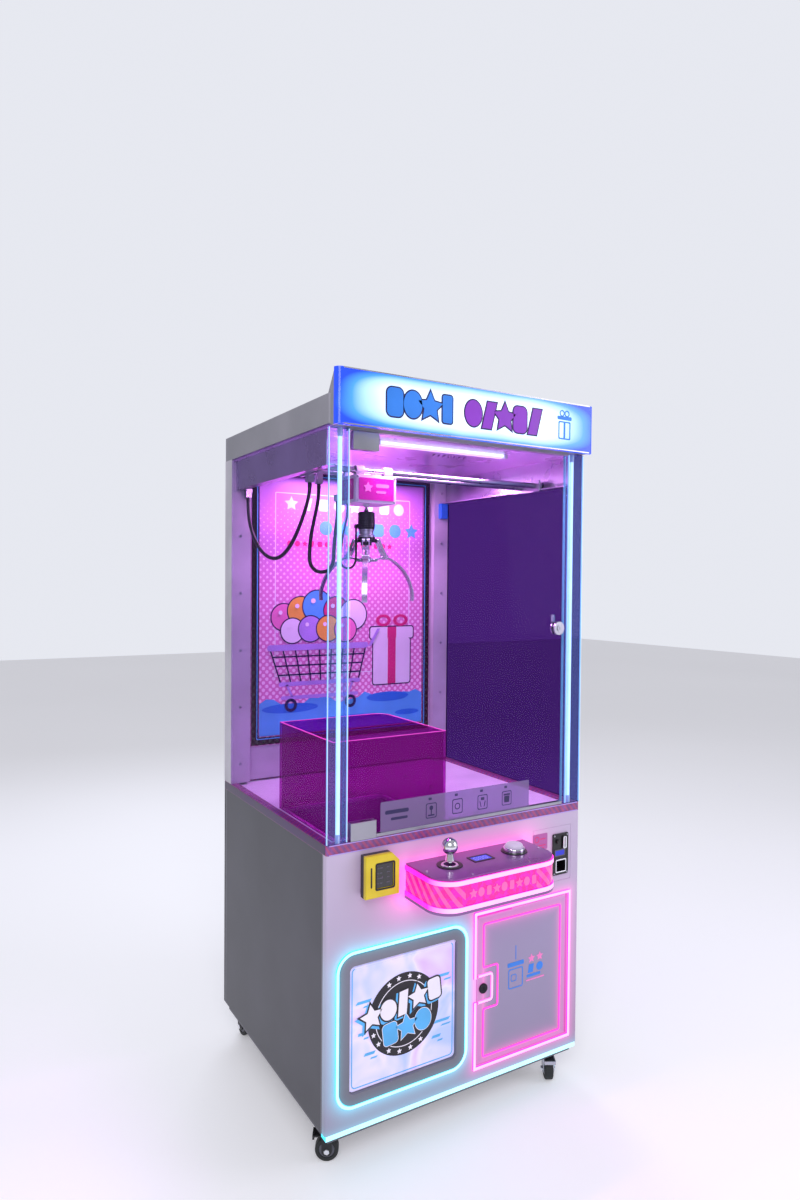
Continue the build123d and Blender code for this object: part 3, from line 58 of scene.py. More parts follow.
# ---------------------------------------------------------------- camera
camera = bpy.data.objects.new("player_view", bpy.data.cameras.new("player_view"))
bpy.context.scene.collection.objects.link(camera)
bpy.context.scene.camera = camera
camera.data.lens = 24.056
camera.data.clip_end = 60
eye = Vector((-1.252, -2.0245, 1.459))
yaw, pitch, roll = math.radians(31.07), math.radians(-1.24), math.radians(0.46)
ahead = Vector((math.sin(yaw) * math.cos(pitch), math.cos(yaw) * math.cos(pitch), math.sin(pitch)))
level = Vector((math.cos(yaw), -math.sin(yaw), 0))
upward = level.cross(ahead)
right_hand = math.cos(roll) * level + math.sin(roll) * upward
head_up = math.cos(roll) * upward - math.sin(roll) * level
camera.matrix_world = Matrix((
    (right_hand.x, head_up.x, -ahead.x, eye.x),
    (right_hand.y, head_up.y, -ahead.y, eye.y),
    (right_hand.z, head_up.z, -ahead.z, eye.z),
    (0, 0, 0, 1)))


# ---------------------------------------------------------------- small helpers
def linear(hex_colour):
    """sRGB hex to the linear colour that a socket takes."""
    parts = [int(hex_colour[i:i + 2], 16) / 255 for i in (1, 3, 5)]
    return tuple(c / 12.92 if c <= 0.04045 else ((c + 0.055) / 1.055) ** 2.4 for c in parts) + (1.0,)


def add(tree, kind, settings=None, links=None, stops=None):
    """Add a node. Settings: sockets or properties; links: nodes or sockets; stops: a ramp's (place, hex)."""
    node = tree.nodes.new("ShaderNode" + kind)
    for key, value in (settings or {}).items():
        if isinstance(key, str) and hasattr(node, key):
            setattr(node, key, value)
        else:
            node.inputs[key].default_value = value
    for key, source in (links or {}).items():
        socket = source if isinstance(source, bpy.types.NodeSocket) else source.outputs[0]
        tree.links.new(socket, node.inputs[key])
    for count, (place, colour) in enumerate(stops or []):
        if count >= 2:
            node.color_ramp.elements.new(place)
        node.color_ramp.elements[count].position = place
        node.color_ramp.elements[count].color = linear(colour)
    return node


def new_material(name):
    """An empty node material and its output."""
    material = bpy.data.materials.new(name)
    material.use_nodes = True
    material.node_tree.nodes.clear()
    tree = material.node_tree
    return material, tree, add(tree, "OutputMaterial")


def shade(hex_colour, factor):
    """The same colour, lighter or darker."""
    parts = [min(255, int(int(hex_colour[i:i + 2], 16) * factor)) for i in (1, 3, 5)]
    return "#%02x%02x%02x" % tuple(parts)


def finish_of(name, colour, roughness, metallic=0.0, grain_mm=0.8, depth_mm=0.02, patch_mm=120, spread=0.05,
              coat=0.0, rough_spread=0.06, specular=0.5):
    """One opaque finish: a base colour that drifts over patches, fine grain in relief and uneven gloss."""
    material, tree, out = new_material(name)
    where = add(tree, "TexCoord").outputs["Object"]
    cloud = add(tree, "TexNoise", {"Scale": 1000 / patch_mm, "Detail": 3.0}, {"Vector": where})
    grain = add(tree, "TexNoise", {"Scale": 1000 / grain_mm, "Detail": 2.0}, {"Vector": where})
    tint = add(tree, "ValToRGB", None, {0: cloud},
               [(0.3, shade(colour, 1 - spread)), (0.7, shade(colour, 1 + spread))])
    gloss = add(tree, "MapRange", {"From Min": 0.3, "From Max": 0.7, "To Min": roughness - rough_spread,
                                   "To Max": roughness + rough_spread}, {"Value": cloud})
    relief = add(tree, "Bump", {"Strength": 0.35, "Distance": depth_mm * MM}, {"Height": grain})
    shader = add(tree, "BsdfPrincipled",
                 {"Metallic": metallic, "Coat Weight": coat, "Coat Roughness": 0.1,
                  "Specular IOR Level": specular},
                 {"Base Color": tint, "Roughness": gloss, "Normal": relief})
    tree.links.new(shader.outputs[0], out.inputs[0])
    return material


def glow_of(name, colour, core, strength, outward=(0, 1, 0)):
    """A lit diffuser: brightest on the faces along its outward direction, deeper coloured on its flanks."""
    material, tree, out = new_material(name)
    where = add(tree, "TexCoord")
    cloud = add(tree, "TexNoise", {"Scale": 22.0, "Detail": 1.0}, {"Vector": where.outputs["Object"]})
    lean = add(tree, "VectorMath", {"operation": "DOT_PRODUCT", 1: outward}, {0: where.outputs["Normal"]})
    turned_by = add(tree, "Math", {"operation": "ABSOLUTE"}, {0: lean.outputs["Value"]})
    tint = add(tree, "ValToRGB", None, {0: turned_by}, [(0.1, colour), (0.95, core)])
    power = add(tree, "MapRange", {"From Min": 0.3, "From Max": 0.7, "To Min": strength * 0.94,
                                   "To Max": strength * 1.06}, {"Value": cloud})
    shader = add(tree, "BsdfPrincipled", {"Base Color": linear(shade(colour, 0.7)), "Roughness": 0.35},
                 {"Emission Color": tint, "Emission Strength": power})
    tree.links.new(shader.outputs[0], out.inputs[0])
    return material


def clear_of(name, tint, body, body_share, edge_share, roughness=0.02, emission=0.0):
    """A clear sheet: light passes tinted, and its edges and glancing parts show its own colour; its emission
    of that colour is a painted glow.
    """
    material, tree, out = new_material(name)
    where = add(tree, "TexCoord").outputs["Object"]
    cloud = add(tree, "TexNoise", {"Scale": 6.0, "Detail": 2.0}, {"Vector": where})
    smear = add(tree, "MapRange", {"To Min": roughness, "To Max": roughness + 0.03}, {"Value": cloud})
    through = add(tree, "BsdfTransparent", {"Color": linear(tint)})
    # Painted glow: the sheet's own colour given off as emission, though it is no lamp.
    solid = add(tree, "BsdfPrincipled",
                {"Base Color": linear(body), "Emission Color": linear(body), "Emission Strength": emission},
                {"Roughness": smear})
    edge = add(tree, "LayerWeight", {"Blend": 0.5})
    share = add(tree, "MapRange", {"From Min": 0.6, "From Max": 1.0, "To Min": body_share,
                                   "To Max": edge_share}, {"Value": edge.outputs["Facing"]})
    mix = add(tree, "MixShader", links={0: share, 1: through, 2: solid})
    tree.links.new(mix.outputs[0], out.inputs[0])
    return material


# ---------------------------------------------------------------- finishes
# Powder-coated steel: fine orange peel and an even satin sheen.
powder_grey = finish_of("powder_coated_steel_grey", "#5d5b66", 0.42, grain_mm=1.6, depth_mm=0.05)
powder_roof = finish_of("powder_coated_steel_silver_grey", "#8e8c96", 0.4, grain_mm=1.6, depth_mm=0.05)
powder_white = finish_of("powder_coated_steel_white", "#c3bfca", 0.38, grain_mm=1.6, depth_mm=0.05)
powder_plum = finish_of("powder_coated_steel_plum", "#7d3f8c", 0.3, metallic=0.35, grain_mm=1.4,
                        depth_mm=0.04, coat=0.5, spread=0.1)
powder_orchid = finish_of("powder_coated_steel_orchid", "#8d5f9c", 0.36, grain_mm=1.6, depth_mm=0.05)
powder_black = finish_of("powder_coated_steel_black", "#17171c", 0.4, grain_mm=1.4, depth_mm=0.06)
ceiling_lilac = finish_of("powder_coated_steel_lilac", "#cfa4dc", 0.3, grain_mm=1.6, depth_mm=0.04, coat=0.3)
# Laminate on board: nearly flat, a soft sheen and hardly any relief.
laminate_rear = finish_of("graphite_laminate", "#2d2d34", 0.42, grain_mm=2.2, depth_mm=0.03)
# Injection-moulded ABS: a fine spark-eroded texture that breaks up the highlight.
abs_black = finish_of("moulded_black_abs", "#131318", 0.34, grain_mm=0.9, depth_mm=0.04)
abs_white = finish_of("moulded_white_abs", "#efeaf4", 0.28, grain_mm=1.0, depth_mm=0.02, coat=0.3)
abs_grey = finish_of("moulded_grey_abs", "#565662", 0.4, grain_mm=0.9, depth_mm=0.04)
# Chromed brass and steel: mirror bright, with a faint haze that drifts over patches.
chrome = finish_of("polished_chrome", "#e6e6ec", 0.08, metallic=1.0, grain_mm=2.5, depth_mm=0.004,
                   spread=0.03, rough_spread=0.04)
chrome_claw = finish_of("satin_chrome", "#dcdae6", 0.2, metallic=0.9, grain_mm=1.2, depth_mm=0.01,
                        spread=0.04)
zinc = finish_of("zinc_plated_steel", "#b4b6bf", 0.34, metallic=1.0, grain_mm=2.0, depth_mm=0.02, spread=0.12)
aluminium = finish_of("anodised_aluminium", "#c3c3cd", 0.3, metallic=1.0, grain_mm=1.0, depth_mm=0.01)
steel_satin = finish_of("brushed_stainless_steel", "#a9a9b3", 0.3, metallic=1.0, grain_mm=0.6, depth_mm=0.01)
steel_dark = finish_of("blackened_steel", "#2a2a30", 0.42, metallic=0.8, grain_mm=1.0, depth_mm=0.02)
# Moulded rubber: matt and dark, its tone drifting over patches.
rubber = finish_of("moulded_black_rubber", "#1d2022", 0.62, grain_mm=1.0, depth_mm=0.08, spread=0.2)
sleeve_black = finish_of("corrugated_nylon_sleeve", "#15151a", 0.38, grain_mm=1.2, depth_mm=0.03)
braid_white = finish_of("braided_nylon_cord", "#e9e6ee", 0.7, grain_mm=0.7, depth_mm=0.15)
# Opaque gloss acrylic on the winch: a deep wet magenta.
gloss_magenta = finish_of("gloss_magenta_acrylic", "#b0208f", 0.14, grain_mm=2.0, depth_mm=0.004, coat=0.5)
# Black cover glass: the darkest, sharpest gloss on the front.
glass_black = finish_of("black_display_glass", "#07070c", 0.08, grain_mm=3.0, depth_mm=0.002, coat=0.8)
# Printed vinyl film: flat colour with a slight sheen; a fine dot grain stands for the print.
FILM_COLOURS = {
    "navy": "#251a52", "blue": "#2f7fe0", "sky": "#57b4f2", "violet": "#8a2fc0", "pink": "#f07fc4",
    "rose": "#d8327e",
    "yellow": "#f2b84b", "lilac": "#b79be8", "black": "#16141c", "orchid": "#b45fa8"}
film = {tone: finish_of("printed_" + tone + "_film", colour, 0.36, grain_mm=1.5, depth_mm=0.01)
        for tone, colour in FILM_COLOURS.items()}
film["white"] = finish_of("printed_white_film", "#f3eefa", 0.36, grain_mm=1.5, depth_mm=0.01, spread=0.02)
# Dark purple film for the trim's end faces: painted shade.
trim_side_painted_shade = finish_of("trim_side_painted_shade_film", "#3c2153", 0.36, grain_mm=1.5, depth_mm=0.02, spread=0.2)
# Lit acrylic and silicone diffusers: a bright core with its colour gathered at the edges.
neon_pink = glow_of("pink_silicone_neon", "#ff22c0", "#ffb4f0", 1.5)
neon_cyan = glow_of("cyan_silicone_neon", "#2fd6f2", "#c4f8fd", 1.3)
led_white = glow_of("white_led_diffuser", "#a9d8ff", "#e6f6ff", 1.8)
led_ceiling = glow_of("ceiling_led_diffuser", "#e9b6ff", "#ffe6ff", 1.3, (0, 0, 1))
lcd_blue = glow_of("blue_backlit_display", "#2a32c8", "#3c4be6", 0.7, (0, 0, 1))
lcd_digits = glow_of("pale_blue_digits", "#8fa4ff", "#b9c8ff", 0.7, (0, 0, 1))
lamp_white = glow_of("white_lit_cap", "#dccdf0", "#f4ecff", 0.35, (0, 0, 1))
neon_thin = glow_of("thin_pink_neon", "#ff25b8", "#ff58cc", 1.15)
edge_lit = glow_of("lit_acrylic_edge", "#8fc8ff", "#dff2ff", 0.85)
# Clear sheets. Float glass is nearly colourless; acrylic is a little milky, and its glow at the edges is a
# painted glow from emission.
glass_clear = clear_of("float_glass", "#f3eefb", "#5f5a80", 0.02, 0.35)
acrylic_clear = clear_of("cast_clear_acrylic", "#dfe9fa", "#8fb4f0", 0.08, 0.6, emission=0.12)
acrylic_magenta = clear_of("cast_magenta_acrylic", "#e07fdc", "#a80f96", 0.16, 0.5, emission=0.28)
rim = clear_of("polished_magenta_edge_painted_glow", "#ff9ae0", "#ff5fd0", 0.6, 0.95, emission=0.5)
edge_glass = clear_of("polished_glass_edge_painted_glow", "#bfe6e6", "#7fd0e8", 0.55, 0.9, emission=0.25)
film_strip = clear_of("printed_clear_strip", "#b9a4d2", "#9d86bb", 0.45, 0.7, emission=0.08)


def side_panes():
    """Float glass, the same on both sides: the left pane nearly colourless, and the right pane's deep violet
    a painted reflection of the lit cabin.
    """
    material = clear_of("float_glass_side", "#f3eefb", "#5f5a80", 0.02, 0.35)
    tree = material.node_tree
    where = add(tree, "TexCoord").outputs["Object"]
    axes = add(tree, "SeparateXYZ", links={0: where})
    # Painted reflection: the transparent tint turns deep violet on the right pane.
    pane = add(tree, "ValToRGB", None, {0: axes}, [(0.0, "#efe6f9"), (0.2, "#9468b4")])
    for node in tree.nodes:
        if node.type == "BSDF_TRANSPARENT":
            tree.links.new(pane.outputs[0], node.inputs[0])
    return material


glass_side = side_panes()


def striped_finish(name, ground, stripe, pitch_mm, share, slope, roughness, front_at, emission=0.0,
                   mottle=0.0, third="#000000", plain=0.0):
    """Slanted printed stripes that run round a part's corners; pitch is measured along it."""
    material, tree, out = new_material(name)
    where = add(tree, "TexCoord").outputs["Object"]
    axes = add(tree, "SeparateXYZ", links={0: where})
    depth = add(tree, "Math", {"operation": "SUBTRACT", 1: front_at}, {0: axes.outputs[1]})
    side = add(tree, "Math", {"operation": "SIGN"}, {0: axes})
    across = add(tree, "Math", {"operation": "MULTIPLY_ADD"}, {0: depth, 1: side, 2: axes})
    leaned = add(tree, "Math", {"operation": "MULTIPLY_ADD", 1: slope}, {0: axes.outputs[2], 2: across})
    turns = add(tree, "Math", {"operation": "MULTIPLY", 1: 1000 / pitch_mm}, {0: leaned})
    part = add(tree, "Math", {"operation": "FRACT"}, {0: turns})
    cloud = add(tree, "TexNoise", {"Scale": 60.0, "Detail": 4.0}, {"Vector": where})
    base = add(tree, "ValToRGB", None, {0: cloud}, [
        (0.5 - 0.2 * mottle, ground), (0.5 + 0.2 * mottle, shade(ground, 0.8)),
        (1.0, third if mottle else ground)])
    step = add(tree, "Math", {"operation": "LESS_THAN", 1: share}, {0: part})
    bare = add(tree, "Math", {"operation": "COMPARE", 1: 0.0, 2: plain}, {0: axes})
    shown = add(tree, "Math", {"operation": "SUBTRACT", "use_clamp": True}, {0: step, 1: bare})
    bars = add(tree, "ValToRGB", None, {0: cloud}, [(0.3, stripe), (0.7, shade(stripe, 0.86))])
    colour = add(tree, "Mix", {"data_type": "RGBA"}, {0: shown, 6: base, 7: bars})
    shader = add(tree, "BsdfPrincipled",
                 {"Roughness": roughness, "Emission Strength": emission, "Coat Weight": 0.3},
                 {"Base Color": colour.outputs[2], "Emission Color": colour.outputs[2]})
    tree.links.new(shader.outputs[0], out.inputs[0])
    return material


# Edge-lit acrylic band: saturated magenta with paler slanted bars.
band_lit = striped_finish("edge_lit_magenta_acrylic", "#ee0098", "#ff4a98", 36, 0.45, 1.0, 0.2,
                          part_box("control_band")[0].y, emission=0.88, plain=0.112)
# Printed aluminium trim: purple with red and pink chevron bars.
trim_print = striped_finish("printed_purple_trim", "#8a4a96", "#b04a80", 17, 0.45, 0.8, 0.34,
                            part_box("ledge_trim")[0].y, mottle=0.8, third="#6d3590")


def spill(tree, where, lines):
    """Light that neon lines throw on the board under them; it fades with the distance from each line."""
    total = None
    for x0, x1, z0, z1, r, colour, power, reach_mm in lines:
        middle = (-(x0 + x1) / 2, 0, -(z0 + z1) / 2)
        half = ((x1 - x0) / 2 - r, 0, (z1 - z0) / 2 - r)
        flat = add(tree, "VectorMath", {"operation": "MULTIPLY_ADD", 1: (1, 0, 1), 2: middle}, {0: where})
        off = add(tree, "VectorMath", {"operation": "ABSOLUTE"}, {0: flat})
        past = add(tree, "VectorMath", {"operation": "SUBTRACT", 1: half}, {0: off})
        outside = add(tree, "VectorMath", {"operation": "MAXIMUM", 1: (0, 0, 0)}, {0: past})
        far = add(tree, "VectorMath", {"operation": "LENGTH"}, {0: outside})
        split = add(tree, "SeparateXYZ", links={0: past})
        nearer = add(tree, "Math", {"operation": "MAXIMUM"}, {0: split, 1: split.outputs[2]})
        within = add(tree, "Math", {"operation": "MINIMUM", 1: 0.0}, {0: nearer})
        reach = add(tree, "Math", {"operation": "ADD"}, {0: far.outputs["Value"], 1: within})
        signed = add(tree, "Math", {"operation": "SUBTRACT", 1: r}, {0: reach})
        distance = add(tree, "Math", {"operation": "ABSOLUTE"}, {0: signed})
        fade = add(tree, "Math", {"operation": "MULTIPLY", 1: -1000 / reach_mm}, {0: distance})
        level = add(tree, "Math", {"operation": "EXPONENT"}, {0: fade})
        tone = [power * part for part in linear(colour)[:3]]
        glow = add(tree, "VectorMath", {"operation": "MULTIPLY_ADD", 0: tone},
                   {1: level} if total is None else {1: level, 2: total})
        total = glow.outputs[0]
    return total


def lit_board(name, low, middle, high, lines, roughness=0.36):
    """Laminate or powder coat on the front: painted shade makes it greyer low down, and the light lines'
    spill is painted on it as a glow.
    """
    material, tree, out = new_material(name)
    where = add(tree, "TexCoord").outputs["Object"]
    axes = add(tree, "SeparateXYZ", links={0: where})
    cloud = add(tree, "TexNoise", {"Scale": 5.0, "Detail": 3.0}, {"Vector": where})
    # Painted shade: the colour runs greyer towards the bottom of the board.
    height = add(tree, "MapRange", {"From Min": 0.1, "From Max": 0.8}, {"Value": axes.outputs[2]})
    drift = add(tree, "Math", {"operation": "MULTIPLY_ADD", 1: 0.12, 2: -0.06}, {0: cloud})
    mixed = add(tree, "Math", {"operation": "ADD"}, {0: height, 1: drift})
    tint = add(tree, "ValToRGB", None, {0: mixed}, [(0.0, low), (0.6, middle), (1.0, high)])
    grain = add(tree, "TexNoise", {"Scale": 450.0, "Detail": 2.0}, {"Vector": where})
    relief = add(tree, "Bump", {"Strength": 0.3, "Distance": 0.02 * MM}, {"Height": grain})
    # The emission is painted light: the light lines' spill on the board.
    shader = add(tree, "BsdfPrincipled",
                 {"Roughness": roughness, "Coat Weight": 0.15, "Emission Strength": 1.0},
                 {"Base Color": tint, "Normal": relief, "Emission Color": spill(tree, where, lines)})
    tree.links.new(shader.outputs[0], out.inputs[0])
    return material


def side_laminate():
    """Side panel laminate: its charcoal ground is painted shade, with a paler inlaid line near each upright
    edge.
    """
    material, tree, out = new_material("side_laminate_painted_shade")
    lo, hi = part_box("side_panels")
    where = add(tree, "TexCoord").outputs["Object"]
    axes = add(tree, "SeparateXYZ", links={0: where})
    cloud = add(tree, "TexNoise", {"Scale": 5.0, "Detail": 4.0}, {"Vector": where})
    middle = add(tree, "Math", {"operation": "SUBTRACT", 1: (lo.y + hi.y) / 2}, {0: axes.outputs[1]})
    out_by = add(tree, "Math", {"operation": "ABSOLUTE"}, {0: middle})
    line = add(tree, "Math", {"operation": "COMPARE", 1: (hi.y - lo.y) / 2 - 0.004, 2: 0.0012}, {0: out_by})
    # Painted shade: the dark charcoal ground stands for the shade that the side panels are in.
    ground = add(tree, "ValToRGB", None, {0: cloud}, [(0.25, "#36363f"), (0.75, "#42424c")])
    colour = add(tree, "Mix", {"data_type": "RGBA", 7: linear("#8d8b98")}, {0: line, 6: ground})
    grain = add(tree, "TexNoise", {"Scale": 420.0, "Detail": 2.0}, {"Vector": where})
    relief = add(tree, "Bump", {"Strength": 0.35, "Distance": 0.04 * MM}, {"Height": grain})
    shader = add(tree, "BsdfPrincipled", {"Roughness": 0.4},
                 {"Base Color": colour.outputs[2], "Normal": relief})
    tree.links.new(shader.outputs[0], out.inputs[0])
    return material


def sign_acrylic():
    """Opal acrylic lit from behind: icy white in the middle, deep blue at the ends and edges."""
    material, tree, out = new_material("backlit_opal_acrylic")
    lo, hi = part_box("header_sign")
    where = add(tree, "TexCoord").outputs["Object"]
    axes = add(tree, "SeparateXYZ", links={0: where})
    wide = add(tree, "Math", {"operation": "DIVIDE", 1: hi.x}, {0: axes})
    wide_off = add(tree, "Math", {"operation": "ABSOLUTE"}, {0: wide})
    tall = add(tree, "MapRange", {"From Min": lo.z, "From Max": hi.z, "To Min": -1.0, "To Max": 1.0},
               {"Value": axes.outputs[2]})
    tall_off = add(tree, "Math", {"operation": "ABSOLUTE"}, {0: tall})
    wide_power = add(tree, "Math", {"operation": "POWER", 1: 5.0}, {0: wide_off})
    tall_power = add(tree, "Math", {"operation": "POWER", 1: 3.5}, {0: tall_off})
    both = add(tree, "Math", {"operation": "MULTIPLY_ADD", 1: 0.75}, {0: tall_power, 2: wide_power})
    cloud = add(tree, "TexNoise", {"Scale": 7.0, "Detail": 1.0}, {"Vector": where})
    soft = add(tree, "Math", {"operation": "MULTIPLY_ADD", 1: 0.25, 2: -0.12}, {0: cloud})
    total = add(tree, "Math", {"operation": "ADD"}, {0: both, 1: soft})
    tint = add(tree, "ValToRGB", None, {0: total},
               [(0.0, "#dbeaff"), (0.25, "#a9ccff"), (0.6, "#3f83f0"), (1.0, "#1c3fd0")])
    shader = add(tree, "BsdfPrincipled", {"Roughness": 0.15, "Emission Strength": 0.95},
                 {"Base Color": tint, "Emission Color": tint})
    tree.links.new(shader.outputs[0], out.inputs[0])
    return material


def poster_sheet():
    """Printed back panel: pink ground that pales upwards, with a halftone of darker dots, and a faint painted
    glow.
    """
    material, tree, out = new_material("printed_pink_panel")
    lo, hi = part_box("poster")
    where = add(tree, "TexCoord").outputs["Object"]
    axes = add(tree, "SeparateXYZ", links={0: where})
    height = add(tree, "MapRange", {"From Min": lo.z, "From Max": hi.z}, {"Value": axes.outputs[2]})
    ground = add(tree, "ValToRGB", None, {0: height}, [(0.0, "#d976bd"), (0.55, "#d97fc4"), (1.0, "#b97ad6")])
    turned = add(tree, "Mapping", {"Rotation": (0, math.radians(45), 0), "Scale": (60, 60, 60)},
                 {"Vector": where})
    cell = add(tree, "SeparateXYZ", links={0: turned})
    dots = []
    for axis in (0, 2):
        part = add(tree, "Math", {"operation": "FRACT"}, {0: cell.outputs[axis]})
        off = add(tree, "Math", {"operation": "SUBTRACT", 1: 0.5}, {0: part})
        dots.append(add(tree, "Math", {"operation": "MULTIPLY"}, {0: off, 1: off}))
    radius = add(tree, "Math", {"operation": "ADD"}, {0: dots[0], 1: dots[1]})
    size = add(tree, "MapRange", {"From Min": 0.25, "From Max": 0.9, "To Min": 0.12, "To Max": 0.0},
               {"Value": height})
    dot = add(tree, "Math", {"operation": "LESS_THAN"}, {0: radius, 1: size})
    colour = add(tree, "Mix", {"data_type": "RGBA", 7: linear("#f4c9ea")}, {0: dot, 6: ground})
    # Painted glow: a slight emission of the print's own colour.
    shader = add(tree, "BsdfPrincipled", {"Roughness": 0.35, "Emission Strength": 0.12},
                 {"Base Color": colour.outputs[2], "Emission Color": colour.outputs[2]})
    tree.links.new(shader.outputs[0], out.inputs[0])
    return material


def lit_flap():
    """Opal acrylic flap lit from behind: white with soft lilac and blue clouds."""
    material, tree, out = new_material("lit_opal_acrylic")
    where = add(tree, "TexCoord").outputs["Object"]
    cloud = add(tree, "TexNoise", {"Scale": 9.0, "Detail": 2.0, "Distortion": 0.6}, {"Vector": where})
    tint = add(tree, "ValToRGB", None, {0: cloud}, [(0.3, "#a3b4ea"), (0.5, "#d6cdf3"), (0.72, "#c7a4e8")])
    shader = add(tree, "BsdfPrincipled", {"Roughness": 0.2, "Coat Weight": 0.4, "Emission Strength": 0.34},
                 {"Base Color": tint, "Emission Color": tint})
    tree.links.new(shader.outputs[0], out.inputs[0])
    return material


def two_tone_reader():
    """Moulded ABS in two colours: a yellow front bezel on a black body."""
    material, tree, out = new_material("moulded_two_tone_abs")
    bezel_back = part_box("card_reader")[0].y + 0.012
    where = add(tree, "TexCoord").outputs["Object"]
    axes = add(tree, "SeparateXYZ", links={0: where})
    behind = add(tree, "Math", {"operation": "GREATER_THAN", 1: bezel_back}, {0: axes.outputs[1]})
    cloud = add(tree, "TexNoise", {"Scale": 14.0, "Detail": 3.0}, {"Vector": where})
    yellow = add(tree, "ValToRGB", None, {0: cloud}, [(0.3, "#d2ba12"), (0.7, "#e4cf2a")])
    colour = add(tree, "Mix", {"data_type": "RGBA", 7: linear("#141318")}, {0: behind, 6: yellow})
    grain = add(tree, "TexNoise", {"Scale": 900.0}, {"Vector": where})
    relief = add(tree, "Bump", {"Strength": 0.3, "Distance": 0.03 * MM}, {"Height": grain})
    shader = add(tree, "BsdfPrincipled", {"Roughness": 0.32, "Coat Weight": 0.2},
                 {"Base Color": colour.outputs[2], "Normal": relief})
    tree.links.new(shader.outputs[0], out.inputs[0])
    return material


def felt_white():
    """Needle felt on the prize deck: short white fibres, matt, faintly tufted."""
    material, tree, out = new_material("needle_felt_white")
    where = add(tree, "TexCoord").outputs["Object"]
    cloud = add(tree, "TexNoise", {"Scale": 9.0, "Detail": 4.0}, {"Vector": where})
    fibre = add(tree, "TexNoise", {"Scale": 260.0, "Detail": 5.0, "Distortion": 1.5}, {"Vector": where})
    tint = add(tree, "ValToRGB", None, {0: cloud}, [(0.3, "#d9d2e6"), (0.7, "#efe9f7")])
    relief = add(tree, "Bump", {"Strength": 0.8, "Distance": 0.6 * MM}, {"Height": fibre})
    shader = add(tree, "BsdfPrincipled", {"Roughness": 0.95, "Sheen Weight": 0.4, "Sheen Roughness": 0.4},
                 {"Base Color": tint, "Normal": relief})
    tree.links.new(shader.outputs[0], out.inputs[0])
    return material


ring_lo, ring_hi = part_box("prize_door_frame")
door_lo, door_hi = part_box("service_door")
INNER_LEFT, INNER_RIGHT, INNER_FOOT, INNER_TOP = 0.022, 0.025, 0.016, 0.026  # service door's inner light line
shelf_lo, shelf_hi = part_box("control_shelf")
board_lo, board_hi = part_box("front_panel")
# Light lines as (left, right, foot, top, corner radius, colour, power, reach in mm).
cyan_spill = [(ring_lo.x - 0.006, ring_hi.x + 0.006, ring_lo.z - 0.006, ring_hi.z
               + 0.006, 0.046, "#35dcf5", 0.85, 17),
              (board_lo.x, board_hi.x, board_lo.z - 0.008, board_lo.z - 0.007, 0.0, "#35dcf5", 0.6, 12)]
pink_spill = [(door_lo.x - 0.008, door_hi.x + 0.008, door_lo.z - 0.008, door_hi.z
               + 0.008, 0.003, "#ff2fc4", 0.7, 15),
              (shelf_lo.x, shelf_hi.x, shelf_lo.z + 0.004, shelf_hi.z - 0.012, 0.010, "#ff2fc4", 1.5, 36)]
inner_spill = [(door_lo.x + INNER_LEFT, door_hi.x - INNER_RIGHT, door_lo.z
                + INNER_FOOT, door_hi.z - INNER_TOP,
                0.002, "#ff2fb4", 0.5, 9)]
# High-pressure laminate on board: flat and satin, with painted shade low down and a painted glow where the
# light lines spill on it.
laminate_front = lit_board("white_laminate", "#958ca4", "#b3a8c2", "#c2b4cf", cyan_spill + pink_spill)
laminate_door = lit_board("lilac_laminate", "#8d84a0", "#9d92b4", "#a99cc0", pink_spill + inner_spill, 0.34)
# The prize frame's powder coat gets the same painted shade low down and a painted cyan glow from its light
# line.
frame_spill = [cyan_spill[0][:6] + (0.3, 10)]
powder_frame = lit_board("powder_coated_steel_ash", "#6c6a77", "#787584", "#807e8c", frame_spill, 0.4)
laminate_side_painted_shade = side_laminate()
opal_sign = sign_acrylic()
poster_print = poster_sheet()
felt = felt_white()
opal_flap = lit_flap()
abs_reader = two_tone_reader()


# ---------------------------------------------------------------- hanging cables
def mesh_of(name, grid):
    """Close a bmesh into a named mesh, its faces turned outwards."""
    bmesh.ops.recalc_face_normals(grid, faces=grid.faces)
    mesh = bpy.data.meshes.new(name)
    grid.to_mesh(mesh)
    grid.free()
    return mesh


def tube_mesh(name, path, radius_at, sides=12):
    """A tube round a path of points; radius_at gives its radius at a distance along it."""
    grid = bmesh.new()
    rings, walked = [], 0.0
    across = Vector((0, 1, 0.1)).cross(path[1] - path[0]).normalized()
    for i, point in enumerate(path):
        along = (path[min(i + 1, len(path) - 1)] - path[max(i - 1, 0)]).normalized()
        across = (across - across.dot(along) * along).normalized()
        other = along.cross(across)
        if i:
            walked += (point - path[i - 1]).length
        radius = radius_at(walked)
        rings.append([grid.verts.new(point + radius * (math.cos(t) * across + math.sin(t) * other))
                      for t in (2 * math.pi * k / sides for k in range(sides))])
    for a, b in zip(rings, rings[1:]):
        for k in range(sides):
            grid.faces.new((a[k], a[(k + 1) % sides], b[(k + 1) % sides], b[k]))
    grid.faces.new(rings[0][::-1])
    grid.faces.new(rings[-1])
    mesh = mesh_of(name, grid)
    for face in mesh.polygons:
        face.use_smooth = True
    return mesh


